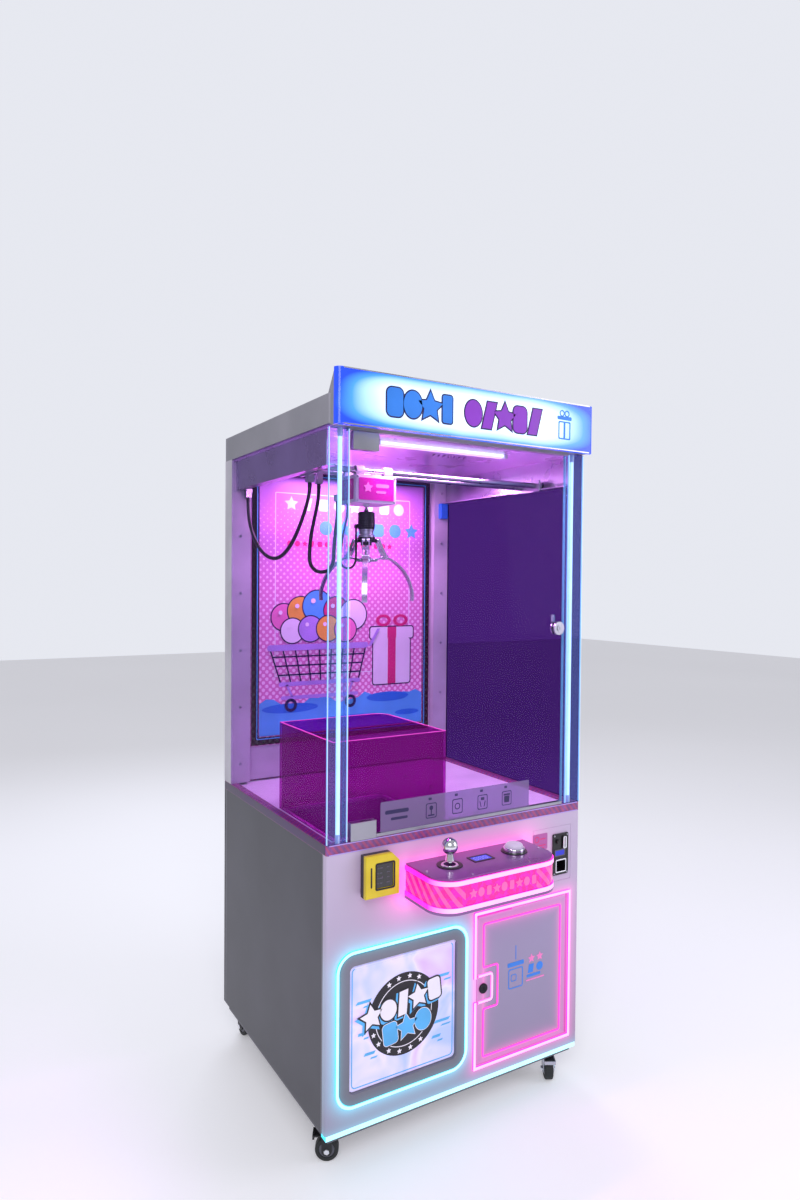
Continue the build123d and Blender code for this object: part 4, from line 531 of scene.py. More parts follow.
def hanging_cable(name, route, diameter, pitch, node, material):
    """A sleeved cable on a smooth line through its route, in place of the CAD node, which it hides."""
    line = bpy.data.curves.new(name + "_line", "CURVE")
    line.dimensions = "3D"
    spline = line.splines.new("NURBS")
    spline.points.add(len(route) - 1)
    for point, place in zip(spline.points, route):
        point.co = (*place, 1.0)
    spline.order_u = 3
    spline.use_endpoint_u = True
    spline.resolution_u = 64
    holder = bpy.data.objects.new(name + "_line", line)
    bpy.context.scene.collection.objects.link(holder)
    bpy.context.view_layer.update()
    points = [v.co.copy() for v in bpy.data.meshes.new_from_object(holder).vertices]
    bpy.data.objects.remove(holder)
    length = sum((b - a).length for a, b in zip(points, points[1:]))
    half, plain_end = diameter / 2, 0.012

    def radius_at(walked):
        """Ribbed between its plain ends, where it has a pitch."""
        if not pitch or walked < plain_end or walked > length - plain_end:
            return half
        return half * (0.93 + 0.07 * math.cos(2 * math.pi * walked / pitch))
    cable = bpy.data.objects.new(name, tube_mesh(name, points, radius_at))
    bpy.context.scene.collection.objects.link(cable)
    cable.data.materials.append(material)
    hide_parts(node)
    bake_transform(cable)
    return cable


# Gantry lead: from the clamp behind the left rail to the bridge's end.
hanging_cable("gantry_lead", [
    (-0.361, 0.3825, 1.722), (-0.361, 0.3825, 1.685), (-0.361, 0.3687, 1.64), (-0.361, 0.3272, 1.59),
    (-0.361, 0.2672, 1.55), (-0.361, 0.205, 1.529), (-0.361, 0.1428, 1.525), (-0.361, 0.0828, 1.54),
    (-0.361, 0.0275, 1.572), (-0.361, -0.0176, 1.613), (-0.361, -0.0555, 1.658), (-0.361, -0.0785, 1.695),
    (-0.361, -0.0785, 1.722)], 0.011, 0.0042, "bridge_cable", sleeve_black)
# Winch lead: from the bridge to the winch box.
hanging_cable("winch_lead", [
    (-0.325, -0.0585, 1.722), (-0.325, -0.0585, 1.688), (-0.334, -0.0585, 1.644), (-0.345, -0.0585, 1.598),
    (-0.351, -0.0585, 1.552), (-0.352, -0.0585, 1.507), (-0.331, -0.0585, 1.486), (-0.301, -0.0585, 1.486),
    (-0.28, -0.0585, 1.507), (-0.279, -0.0585, 1.55), (-0.275, -0.0585, 1.594), (-0.2685, -0.0585, 1.638),
    (-0.2685, -0.0585, 1.679)], 0.011, 0.0042, "trolley_cable", sleeve_black)
# Claw lead: thin and limp, from the winch box to the coil.
hanging_cable("claw_lead", [
    (-0.25, -0.0815, 1.671), (-0.25, -0.0815, 1.639), (-0.261, -0.0815, 1.597), (-0.269, -0.0815, 1.555),
    (-0.272, -0.0815, 1.511), (-0.258, -0.0815, 1.497), (-0.238, -0.0815, 1.497), (-0.224, -0.0815, 1.511),
    (-0.2225, -0.0815, 1.546), (-0.2235, -0.0815, 1.577), (-0.2235, -0.0815, 1.606)],
    0.006, 0, "claw_cable", sleeve_black)


# ---------------------------------------------------------------- flat cut-outs and small fixings
FACING = {  # the piece's own across, up and outward directions
    "front": (Vector((1, 0, 0)), Vector((0, 0, 1)), Vector((0, -1, 0))),
    "back": (Vector((-1, 0, 0)), Vector((0, 0, 1)), Vector((0, 1, 0))),
    "top": (Vector((1, 0, 0)), Vector((0, 1, 0)), Vector((0, 0, 1))),
    "below": (Vector((-1, 0, 0)), Vector((0, 1, 0)), Vector((0, 0, -1))),
    "left": (Vector((0, -1, 0)), Vector((0, 0, 1)), Vector((-1, 0, 0))),
    "right": (Vector((0, 1, 0)), Vector((0, 0, 1)), Vector((1, 0, 0))),
}


def rounded_box(cx, cy, w, h, r, steps=5):
    """Outline of a rectangle with rounded corners."""
    r = min(r, w / 2 - 1e-5, h / 2 - 1e-5)
    points = []
    for sx, sy, start in ((1, 1, 0), (-1, 1, 90), (-1, -1, 180), (1, -1, 270)):
        for i in range(steps + 1):
            t = math.radians(start + 90 * i / steps)
            points.append((cx + sx * (w / 2 - r) + r * math.cos(t), cy + sy * (h / 2 - r) + r * math.sin(t)))
    return points


def round_disc(cx, cy, r, steps=36, squash=1.0):
    return [(cx + r * math.cos(2 * math.pi * i / steps), cy + squash * r * math.sin(2 * math.pi * i / steps))
            for i in range(steps)]


def box_ring(cx, cy, w, h, r, wall, inner_r):
    """A rounded rectangle and its opening, a wall's width further in."""
    return rounded_box(cx, cy, w, h, r), rounded_box(cx, cy, w - 2 * wall, h - 2 * wall, inner_r)


def disc_ring(cx, cy, r, inner, squash=1.0):
    return round_disc(cx, cy, r, squash=squash), round_disc(cx, cy, inner, squash=squash)


def star(cx, cy, r, inner=0.5, points=5, turn=90):
    return [(cx + (r if i % 2 == 0 else r * inner) * math.cos(math.radians(turn + 180 * i / points)),
             cy + (r if i % 2 == 0 else r * inner) * math.sin(math.radians(turn + 180 * i / points)))
            for i in range(2 * points)]


def slanted(cx, cy, w, h, lean):
    return [(cx - w / 2 - lean, cy - h / 2), (cx + w / 2 - lean, cy - h / 2), (cx + w / 2 + lean, cy + h / 2),
            (cx - w / 2 + lean, cy + h / 2)]


def grown(points, by):
    """An outline moved outwards; only for outlines that run one way round."""
    count = len(points)
    area = sum(points[i - 1][0] * points[i][1] - points[i][0] * points[i - 1][1] for i in range(count))
    by = by if area > 0 else -by
    moved = []
    for i in range(count):
        a, b, c = (Vector(points[(i + k) % count]) for k in (-1, 0, 1))
        n1 = Vector(((b - a).y, -(b - a).x)).normalized()
        n2 = Vector(((c - b).y, -(c - b).x)).normalized()
        middle = (n1 + n2) / max(0.35, (n1 + n2).length_squared / 2)
        moved.append((b.x + by * middle.x, b.y + by * middle.y))
    return moved


def finish_piece(name, mesh, body, material, bevel=0.0):
    """Put a mesh in the scene on its body, with its material and eased edges."""
    piece = bpy.data.objects.new(name, mesh)
    bpy.context.scene.collection.objects.link(piece)
    mesh.materials.append(material)
    if bevel:
        ease_edges(piece, bevel, 35)
    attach(piece, body)
    return piece


def ease_edges(piece, width, from_angle):
    """Round a piece's edges that are sharper than an angle in degrees."""
    ease = piece.modifiers.new("eased_edges", "BEVEL")
    ease.width = width
    ease.segments = 2
    ease.limit_method = "ANGLE"
    ease.angle_limit = math.radians(from_angle)


def layer(low, high, *forms):
    """Shapes between two heights; each form is an outline, or a pair of outline and hole."""
    return [(form[0], low, high, form[1]) if isinstance(form, tuple) else (form, low, high) for form in forms]


def cutouts(name, facing, level_at, shapes, material, body="cabinet", bevel=0.0):
    """Flat pieces on one plane. Each shape is (outline, low, high) or (outline, low, high, hole outline)."""
    across, up, outward = FACING[facing]
    base = outward * level_at
    grid = bmesh.new()
    for outline, low, high, *holes in shapes:
        loops = [outline] + holes
        rows = [[[grid.verts.new(across * u + up * v + base + outward * w) for u, v in loop]
                 for loop in loops] for w in (low, high)]
        edges = [(i, (i + 1) % len(outline)) for i in range(len(outline))]
        if holes:
            for row in rows:
                for i, j in edges:
                    grid.faces.new((row[0][i], row[0][j], row[1][j], row[1][i]))
        else:
            grid.faces.new(rows[0][0])
            grid.faces.new(rows[1][0])
        for k in range(len(loops)):
            for i, j in edges:
                grid.faces.new((rows[0][k][i], rows[0][k][j], rows[1][k][j], rows[1][k][i]))
    return finish_piece(name, mesh_of(name, grid), body, material, bevel)


def turned(name, profile, places, body, material, sides=28, ring=False):
    """Turned pieces: a profile of (radius, height) set at each (foot, axis); a ring has no caps."""
    grid = bmesh.new()
    around = [2 * math.pi * k / sides for k in range(sides)]
    for foot, axis in places:
        axis = Vector(axis).normalized()
        u = axis.orthogonal().normalized()
        v = axis.cross(u)
        rows = [[grid.verts.new(Vector(foot) + axis * h + r * (math.cos(t) * u + math.sin(t) * v))
                 for t in around] for r, h in profile if r > 0]
        for a, b in zip(rows, rows[1:] + rows[:1] if ring else rows[1:]):
            for k in range(sides):
                grid.faces.new((a[k], a[(k + 1) % sides], b[(k + 1) % sides], b[k]))
        for row, (r, h) in () if ring else ((rows[0], profile[0]), (rows[-1], profile[-1])):
            if r > 0:
                grid.faces.new(row)
            else:
                tip = grid.verts.new(Vector(foot) + axis * h)
                for k in range(sides):
                    grid.faces.new((row[k], row[(k + 1) % sides], tip))
    return smoothed(finish_piece(name, mesh_of(name, grid), body, material), 32)


def smoothed(piece, sharp_from):
    """Smooth shading, with a crisp line where faces meet at more than an angle in degrees."""
    for face in piece.data.polygons:
        face.use_smooth = True
    piece.data.set_sharp_from_angle(angle=math.radians(sharp_from))
    return piece


def screws(name, places, radius, material, body="cabinet"):
    """Pan-head screws with a round recess."""
    profile = [(radius * r, radius * h) for r, h in (
        (1, 0), (1, 0.25), (0.86, 0.52), (0.55, 0.62), (0.42, 0.62), (0.38, 0.2), (0, 0.2))]
    return turned(name, profile, places, body, material, sides=18)


# ---------------------------------------------------------------- finishes on the CAD nodes
NODE_FINISH = {
    "base_frame": powder_grey, "front_panel": laminate_front, "side_panels": laminate_side_painted_shade,
    "lower_rear_panel": laminate_rear, "ledge_trim": trim_print, "prize_deck": felt,
    "chute_duct": powder_white, "prize_door_frame": powder_frame, "cyan_light_lines": neon_cyan,
    "pink_light_lines": neon_pink, "control_shelf": powder_orchid, "control_band": band_lit,
    "control_top_plate": powder_plum, "chrome_hardware": chrome, "coin_mech": abs_black,
    "card_reader": abs_reader, "corner_posts": acrylic_clear, "light_tubes": led_white,
    "rear_posts": powder_white, "side_glass": glass_side, "back_wall": powder_white, "poster": poster_print,
    "roof_box": powder_roof, "header_sign": opal_sign, "ceiling_panel": ceiling_lilac,
    "chute_guard": acrylic_magenta, "gantry_rails": aluminium, "caster_plates": zinc,
    "glass_door": glass_clear, "door_fittings": steel_satin, "glass_lock": steel_satin,
    "prize_flap": opal_flap, "service_door": laminate_door, "service_lock": steel_dark,
    "bridge": steel_satin, "trolley": powder_white, "claw_coil": abs_black, "claw_plunger": chrome_claw,
    "joystick_gimbal": zinc, "joystick_stick": chrome, "push_button": lamp_white,
    "coin_return_button": abs_black}
for number in "123":
    NODE_FINISH["finger_" + number] = NODE_FINISH["link_" + number] = chrome_claw
CORNERS = ("front_left", "front_right", "rear_left", "rear_right")
for corner in CORNERS:
    NODE_FINISH["fork_" + corner] = zinc if corner == "front_right" else powder_black
    NODE_FINISH["wheel_" + corner] = rubber
for node_name, finish in NODE_FINISH.items():
    materials = frame["nodes"][node_name].data.materials
    materials.clear()
    materials.append(finish)

EASED_MM = {
    "base_frame": 1.0, "front_panel": 0.6, "side_panels": 0.8, "ledge_trim": 1.0, "cyan_light_lines": 1.6,
    "pink_light_lines": 1.6, "control_shelf": 1.2, "control_top_plate": 1.0, "roof_box": 0.8,
    "rear_posts": 0.8, "trolley": 0.8, "bridge": 0.5, "coin_mech": 0.5, "service_door": 0.8,
    "gantry_rails": 0.5, "header_sign": 1.2, "card_reader": 0.5}
for node_name, width in EASED_MM.items():
    ease_edges(frame["nodes"][node_name], width * MM, 40)


# ---------------------------------------------------------------- header sign
sign_lo, sign_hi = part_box("header_sign")
sign_z = (sign_lo.z + sign_hi.z) / 2
MOTIF_PITCH, MOTIF_TALL, ROW_GAP = 0.0515, 0.070, 0.030
EDGE_UP = 0.0009  # thickness of a motif's dark edge; its face stands above it
motifs, edges = {"blue": [], "violet": []}, []
across = -0.252
for tone, kinds in (("blue", "ring disc star bar"), ("violet", "disc slant star ring slant")):
    for kind in kinds.split():
        outline = {"star": star(across, sign_z, 0.039),
                   "disc": round_disc(across, sign_z, 0.027, squash=1.25),
                   "ring": rounded_box(across, sign_z, 0.046, MOTIF_TALL, 0.014),
                   "bar": rounded_box(across, sign_z, 0.030, MOTIF_TALL, 0.006),
                   "slant": slanted(across, sign_z, 0.030, MOTIF_TALL, 0.009)}[kind]
        edges.append(grown(outline, 0.0035))
        motifs[tone].append(outline)
        across += MOTIF_PITCH
    across += ROW_GAP
cutouts("sign_motif_edge", "front", -sign_lo.y, layer(0, EDGE_UP, *edges), film["navy"])
for tone, outlines in motifs.items():
    cutouts("sign_motif_" + tone, "front", -sign_lo.y, layer(EDGE_UP, 0.0016, *outlines), film[tone])
gift_x, gift_z, bow_z = 0.298, sign_z - 0.012, sign_z + 0.035
cutouts("sign_gift_edge", "front", -sign_lo.y, layer(
    0, EDGE_UP, box_ring(gift_x, gift_z, 0.044, 0.050, 0.004, 0.0035, 0.003),
    rounded_box(gift_x, sign_z + 0.022, 0.052, 0.010, 0.003), disc_ring(gift_x - 0.009, bow_z, 0.009, 0.006),
    disc_ring(gift_x + 0.009, bow_z, 0.009, 0.006))
    + layer(0, 0.0011, rounded_box(gift_x, gift_z, 0.006, 0.043, 0.001)), film["blue"])
# Extruded caps that close the sign's upper and lower edges.
CAP_W, CAP_H = 0.784, 0.003
for label, z in (("lower", sign_lo.z + CAP_H / 2), ("upper", sign_hi.z - CAP_H / 2)):
    cutouts("sign_cap_" + label, "front", -sign_lo.y - 0.0002,
            layer(0, 0.0012, rounded_box(0, z, CAP_W, CAP_H, 0.001)), aluminium)


# ---------------------------------------------------------------- printed back panel
post_lo, post_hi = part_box("poster")
MOULDING, PRINT_STEP = 0.028, 0.0002
field_x, field_lo, field_hi = post_hi.x - MOULDING, post_lo.z + MOULDING, post_hi.z - MOULDING
sheet_y = post_hi.y - 0.003
post_z, post_tall = (post_lo.z + post_hi.z) / 2, post_hi.z - post_lo.z


def printed(name, tone, level, *forms):
    """A printed layer on the back panel; layers are a fifth of a millimetre apart."""
    low = level * PRINT_STEP
    cutouts("panel_" + name, "front", -sheet_y, layer(low, low + PRINT_STEP, *forms), film[tone])


# Black moulding round the sheet, with its inlaid blue line.
cutouts("panel_moulding", "front", -post_lo.y,
        layer(-0.008, 0, box_ring(0, post_z, 2 * post_hi.x, post_tall, 0.003, MOULDING, 0.002)),
        film["black"], bevel=0.0012)
INLAY_IN = 0.019
cutouts("panel_inlay", "front", -post_lo.y, layer(0, 0.0006, box_ring(
    0, post_z, 2 * (post_hi.x - INLAY_IN), post_tall - 2 * INLAY_IN, 0.003, 0.003, 0.002)), film["sky"])
# Thin white frame line.
line_lo, line_hi = field_lo + 0.19, field_hi - 0.05
printed("white_line", "white", 1,
        box_ring(0, (line_lo + line_hi) / 2, 0.513, line_hi - line_lo, 0.004, 0.003, 0.003))
# Blue ground with a wavy upper edge and flat shadows on it.
ground_top = field_lo + 0.105
wave = [(-field_x, field_lo), (field_x, field_lo)]
wave += [(field_x - i * 2 * field_x / 24, ground_top + 0.012 * math.sin(i * 0.9) + 0.006 * math.sin(i * 2.3))
         for i in range(25)]
printed("ground", "sky", 2, wave)
printed("ground_shadow", "blue", 3, *(round_disc(x, field_lo + z, r, squash=flat) for x, z, r, flat in (
    (-0.20, 0.085, 0.10, 0.16), (0.17, 0.100, 0.085, 0.2), (0.02, 0.035, 0.13, 0.10),
    (0.25, 0.04, 0.05, 0.2))))
# Title rows: plain stars, discs and bars.
for row, (name, tone, drop, size, count, start) in enumerate((
        ("title", "white", 0.085, 0.026, 8, -0.20), ("title_second", "sky", 0.16, 0.030, 6, -0.075),
        ("title_small", "rose", 0.215, 0.012, 15, -0.205))):
    marks, z = [], field_hi - drop
    for i in range(count):
        x = start + i * size * 2.25
        marks.append((star(x, z, size * 0.95), round_disc(x, z, size * 0.8),
                      rounded_box(x, z, size * 1.5, size * 1.5, size * 0.4),
                      slanted(x, z, size * 0.9, size * 1.6, size * 0.2))[(i * 3 + row) % 4])
    printed(name, tone, 2, *marks)
# A heap of plain balls, each on its own layer, over a basket on wheels.
basket_z = field_lo + 0.30
HEAP = [(-0.225, 0.165, 0.043, "pink"), (-0.165, 0.185, 0.046, "yellow"), (-0.105, 0.200, 0.052, "sky"),
        (-0.035, 0.185, 0.045, "rose"), (0.030, 0.170, 0.050, "white"), (-0.195, 0.120, 0.040, "white"),
        (-0.130, 0.125, 0.042, "lilac"), (-0.065, 0.125, 0.042, "yellow"), (0.0, 0.120, 0.040, "pink")]
BALL_UP, BALL_LAYER = 0.0006, 0.00015
rims, balls, shines = [], {}, []
for i, (x, up_by, r, tone) in enumerate(HEAP):
    z, low = basket_z - 0.08 + up_by, BALL_UP + 2 * BALL_LAYER * i
    rims += layer(low, low + BALL_LAYER, round_disc(x, z, r + 0.004))
    balls.setdefault(tone, []).extend(layer(low + BALL_LAYER, low + 2 * BALL_LAYER, round_disc(x, z, r)))
    shines.append(round_disc(x - 0.3 * r, z + 0.35 * r, 0.16 * r))
cutouts("panel_ball_edges", "front", -sheet_y, rims, film["navy"])
for tone, discs in balls.items():
    cutouts("panel_balls_" + tone, "front", -sheet_y, discs, film[tone])
printed("ball_shine", "white", 16, *shines)
# A parcel with a ribbon and a bow.
parcel_x, body_z, lid_z, knot_z = 0.185, field_lo + 0.225, field_lo + 0.325, field_lo + 0.368
printed("gift_edge", "navy", 3, rounded_box(parcel_x, body_z, 0.158, 0.168, 0.012),
        rounded_box(parcel_x, lid_z, 0.182, 0.048, 0.01))
printed("gift_body", "white", 4, rounded_box(parcel_x, body_z, 0.150, 0.160, 0.009),
        rounded_box(parcel_x, lid_z, 0.174, 0.040, 0.007))
printed("gift_ribbon", "rose", 5, rounded_box(parcel_x, body_z, 0.032, 0.160, 0.002),
        rounded_box(parcel_x, lid_z, 0.036, 0.040, 0.002),
        *(disc_ring(x, knot_z, 0.030, 0.017, 0.7) for x in (0.150, 0.220)))
# The basket: slanting wires, cross wires, rim, foot and wheels.
top_z, foot_z = basket_z - 0.015, basket_z - 0.135
WIRE = 0.0025  # half a wire's width
wires = []
for i in range(9):
    x_top, x_foot = -0.275 + i / 8 * 0.355, -0.235 + i / 8 * 0.285
    wires.append([(x_foot - WIRE, foot_z), (x_foot + WIRE, foot_z), (x_top + WIRE, top_z),
                  (x_top - WIRE, top_z)])
for i in range(1, 4):
    share = i / 4
    wires.append(rounded_box(-0.0975 * share - 0.0925 * (1 - share), foot_z + share * (top_z - foot_z),
                             0.355 * share + 0.285 * (1 - share), 2 * WIRE, 0.001))
printed("basket_wires", "navy", 17, *wires)
printed("basket_rim", "lilac", 18, rounded_box(-0.0975, top_z, 0.372, 0.020, 0.009),
        rounded_box(-0.0925, foot_z, 0.300, 0.014, 0.006), slanted(0.112, top_z + 0.025, 0.012, 0.060, 0.018),
        rounded_box(-0.0925, foot_z - 0.045, 0.285, 0.012, 0.005),
        slanted(-0.205, foot_z - 0.022, 0.009, 0.04, -0.01), slanted(0.02, foot_z - 0.022, 0.009, 0.04, 0.01))
printed("basket_wheels", "navy", 18, *(disc_ring(x, foot_z - 0.070, 0.022, 0.012) for x in (-0.20, 0.02)))


# ---------------------------------------------------------------- prize door
flap_x, flap_z = (ring_lo.x + ring_hi.x) / 2, (ring_lo.z + ring_hi.z) / 2
FRAME_LAP, BADGE_R, RISE = 0.029, 0.106, math.radians(7)
flap_w, flap_h = ring_hi.x - ring_lo.x - 2 * FRAME_LAP, ring_hi.z - ring_lo.z - 2 * FRAME_LAP
flap_front = -(ring_hi.y - 0.018 + 0.002)


def on_flap(name, tone, low, high, *forms):
    """Film on the prize flap's face."""
    cutouts("flap_" + name, "front", flap_front, layer(low, high, *forms), film[tone], "prize_flap")


def risen(points):
    """Turn an outline about the badge's centre."""
    return [(flap_x + (u - flap_x) * math.cos(RISE) - (v - flap_z) * math.sin(RISE),
             flap_z + (u - flap_x) * math.sin(RISE) + (v - flap_z) * math.cos(RISE)) for u, v in points]


on_flap("line", "sky", 0, 0.0006,
        box_ring(flap_x, flap_z, flap_w - 0.012, flap_h - 0.012, 0.012, 0.0025, 0.0095))
on_flap("badge_white", "white", 0, 0.0004, round_disc(flap_x, flap_z, BADGE_R, 64))
on_flap("badge", "black", 0.0004, 0.0007, round_disc(flap_x, flap_z, BADGE_R, 64))
on_flap("badge_ring", "white", 0.0007, 0.0009, (round_disc(flap_x, flap_z, BADGE_R * 0.80, 64),
                                                round_disc(flap_x, flap_z, BADGE_R * 0.78, 64)))
# Generic motif: two rising rows of plain shapes, white above and blue below.
upper_z, lower_z = flap_z + 0.027, flap_z - 0.036
row_white = [risen(shape) for shape in (
    star(flap_x - 0.093, upper_z, 0.034), round_disc(flap_x - 0.044, upper_z, 0.024, squash=1.1),
    slanted(flap_x, upper_z + 0.002, 0.026, 0.062, 0.006), star(flap_x + 0.047, upper_z + 0.002, 0.033),
    rounded_box(flap_x + 0.096, upper_z + 0.004, 0.038, 0.056, 0.009))]
row_blue = [risen(shape) for shape in (
    rounded_box(flap_x - 0.046, lower_z, 0.042, 0.056, 0.010), star(flap_x + 0.004, lower_z, 0.035),
    round_disc(flap_x + 0.053, lower_z, 0.025, squash=1.15))]
on_flap("motif_shadow", "sky", 0.0009, 0.0012,
        *([(u - 0.006, v - 0.005) for u, v in grown(m, 0.004)] for m in row_white))
on_flap("motif_edge", "black", 0.0012, 0.0015, *(grown(m, 0.004) for m in row_white + row_blue))
on_flap("motif_rim", "white", 0.0015, 0.0017, *(grown(m, 0.0015) for m in row_blue))
on_flap("motif_white", "white", 0.0015, 0.0018, *row_white)
on_flap("motif_blue", "sky", 0.0017, 0.0020, *row_blue)
star_ring = BADGE_R * 0.9
on_flap("arcs", "white", 0.0004, 0.0009, *(
    star(flap_x + star_ring * math.cos(math.radians(a)), flap_z
         + star_ring * math.sin(math.radians(a)), 0.0075)
    for a in (100, 118, 62, 80, 200, 218, 242, 262, 282, 302)))
strokes = []
for u, v, w, lean in ((-0.118, 0.060, 0.040, 0.003), (-0.100, -0.075, 0.030, 0.002),
                      (0.122, 0.070, 0.034, 0.002),
                      (0.118, -0.050, 0.046, 0.003), (-0.122, -0.02, 0.022, 0.001),
                      (0.10, -0.088, 0.026, 0.002)):
    strokes.append(slanted(flap_x + u, flap_z + v, w, 0.007, lean))
    strokes.append(slanted(flap_x + u + 0.012, flap_z + v - 0.013, w * 0.6, 0.004, lean))
on_flap("strokes", "sky", 0, 0.0005, *strokes)


# ---------------------------------------------------------------- service door
lock_lo, lock_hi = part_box("service_lock")
lock_x, lock_z = (lock_lo.x + lock_hi.x) / 2, lock_lo.z + (lock_hi.x - lock_lo.x) / 2
front_y = door_lo.y + 0.008


def light_line(name, corners, radius, material, squash=1.0, closed=True):
    """A half-round light line on the service door, along (x, z) corners with tight rounds."""
    path = [Vector((x, front_y, z)) for x, z in corners]
    points = []
    for i, corner in enumerate(path):
        before, after = path[i - 1], path[(i + 1) % len(path)]
        if not closed and i in (0, len(path) - 1):
            points.append(corner)
            continue
        cut = min(2.2 * radius, (before - corner).length / 2, (after - corner).length / 2)
        start = corner + (before - corner).normalized() * cut
        end = corner + (after - corner).normalized() * cut
        points += [(1 - t) ** 2 * start + 2 * t * (1 - t) * corner + t * t * end
                   for t in (0, 0.25, 0.5, 0.75, 1)]
    grid, rings, outward = bmesh.new(), [], Vector((0, -1, 0))
    for i, point in enumerate(points):
        before = points[i - 1] if closed or i else point
        after = points[(i + 1) % len(points)] if closed or i < len(points) - 1 else point
        side = (after - before).normalized().cross(outward).normalized()
        rings.append([grid.verts.new(point + radius * (math.cos(t) * side + squash * math.sin(t) * outward))
                      for t in (math.pi * k / 8 for k in range(9))])
    for a, b in zip(rings, rings[1:] + rings[:1] if closed else rings[1:]):
        for k in range(8):
            grid.faces.new((a[k], a[k + 1], b[k + 1], b[k]))
        grid.faces.new((a[8], a[0], b[0], b[8]))
    if not closed:
        grid.faces.new(rings[0])
        grid.faces.new(rings[-1])
    piece = smoothed(finish_piece(name, mesh_of(name, grid), "service_door", material), 50)


def on_door(name, tone, *forms):
    """Film on the service door's face."""
    cutouts("service_motif_" + name, "front", -front_y, layer(0, 0.0005, *forms), film[tone], "service_door")


inner_x0, inner_x1 = door_lo.x + INNER_LEFT, door_hi.x - INNER_RIGHT
inner_z0, inner_z1 = door_lo.z + INNER_FOOT, door_hi.z - INNER_TOP
notch_x, notch_z0, notch_z1 = lock_x + 0.050, lock_z - 0.058, lock_z + 0.056
light_line("service_inner_line", [
    (inner_x0, inner_z0), (inner_x1, inner_z0), (inner_x1, inner_z1), (inner_x0, inner_z1),
    (inner_x0, notch_z1),
    (notch_x, notch_z1), (notch_x, notch_z0), (inner_x0, notch_z0)], 0.0028, neon_thin)
jog_x0, jog_x1, jog_half = door_lo.x + 0.003, lock_x + 0.030, 0.036
light_line("service_lock_line", [(jog_x0, lock_z + jog_half), (jog_x1, lock_z + jog_half),
                                 (jog_x1, lock_z - jog_half),
                                 (jog_x0, lock_z - jog_half)], 0.004, neon_pink, squash=0.9, closed=False)
# Small printed motif: an outlined box with a bow, and a few plain marks beside it.
mark_x, mark_z = (inner_x0 + inner_x1) / 2 + 0.02, lock_z + 0.012
on_door("blue", "blue", box_ring(mark_x - 0.045, mark_z - 0.012, 0.052, 0.056, 0.006, 0.003, 0.004),
        rounded_box(mark_x - 0.045, mark_z + 0.028, 0.058, 0.012, 0.003),
        rounded_box(mark_x - 0.045, mark_z + 0.060, 0.0025, 0.040, 0.001),
        box_ring(mark_x - 0.052, mark_z - 0.010, 0.020, 0.020, 0.005, 0.002, 0.004))
on_door("pink", "pink", star(mark_x + 0.012, mark_z + 0.030, 0.013),
        star(mark_x + 0.042, mark_z + 0.030, 0.013),
        rounded_box(mark_x + 0.026, mark_z - 0.030, 0.066, 0.004, 0.0015))
on_door("violet", "blue", slanted(mark_x + 0.010, mark_z + 0.002, 0.018, 0.024, 0.002),
        round_disc(mark_x + 0.042, mark_z + 0.002, 0.012),
        rounded_box(mark_x + 0.020, mark_z - 0.018, 0.050, 0.008, 0.003))


# ---------------------------------------------------------------- controls
plate_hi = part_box("control_top_plate")[1]
stick_lo, stick_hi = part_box("joystick_stick")
button_lo, button_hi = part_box("push_button")
stick = Vector(((stick_lo.x + stick_hi.x) / 2, (stick_lo.y + stick_hi.y) / 2, plate_hi.z))
button = Vector(((button_lo.x + button_hi.x) / 2, (button_lo.y + button_hi.y) / 2, plate_hi.z))
UP, DOWN = (0, 0, 1), (0, 0, -1)
BALL_R = 0.021
ball_up = stick_hi.z - BALL_R - plate_hi.z
turned("joystick_cone", [(r, ball_up - drop) for r, drop in (
    (0.0055, 0.038), (0.0120, 0.036), (0.0112, 0.031), (0.0090, 0.0195), (0.006, 0.018))],
    [(stick, UP)], "joystick_stick", chrome)
for name, centre, outer, inner in (("joystick", stick, 0.034, 0.0235), ("button", button, 0.0355, 0.0295)):
    turned(name + "_base_ring",
           [(outer, 0), (outer, 0.0012), (outer - 0.001, 0.0022), (inner, 0.0022), (inner, 0)],
           [(centre, UP)], "cabinet", abs_black, ring=True)
# Lit dome of the push button, with a ring groove round its crown.
DOME = [(0.0236, 0.0), (0.0238, 0.0055), (0.0230, 0.0080), (0.0205, 0.0092), (0.0196, 0.0088),
        (0.0186, 0.0094), (0.0150, 0.0118), (0.0100, 0.0137), (0.0050, 0.0146), (0, 0.0148)]
turned("button_dome", DOME, [((button.x, button.y, button_hi.z - 0.0145), UP)], "push_button", lamp_white,
       sides=40)
screen_x, screen_y = 0.004, plate_hi.y - 0.065
cutouts("display_bezel", "top", plate_hi.z, layer(
    -0.0005, 0.0012, box_ring(screen_x, screen_y, 0.066, 0.041, 0.003, 0.006, 0.0015)), abs_black,
        bevel=0.0004)
cutouts("display_screen", "top", plate_hi.z, layer(
    -0.0012, 0.0004, rounded_box(screen_x, screen_y, 0.055, 0.030, 0.001)), lcd_blue)
# Three digits without their middle bars: zeros.
BAR, BAR_W = 0.006, 0.0014
cutouts("display_digits", "top", plate_hi.z, layer(0.0004, 0.0006, *(
    rounded_box(screen_x + digit + u, screen_y + v, w, h, 0.0004) for digit in (-0.015, 0.0, 0.015)
    for u, v, w, h in [(0, side * 0.0085, BAR, BAR_W) for side in (1, -1)]
    + [(across * 0.0042, side * 0.0043, BAR_W, BAR) for across in (-1, 1) for side in (-1, 1)])), lcd_digits)


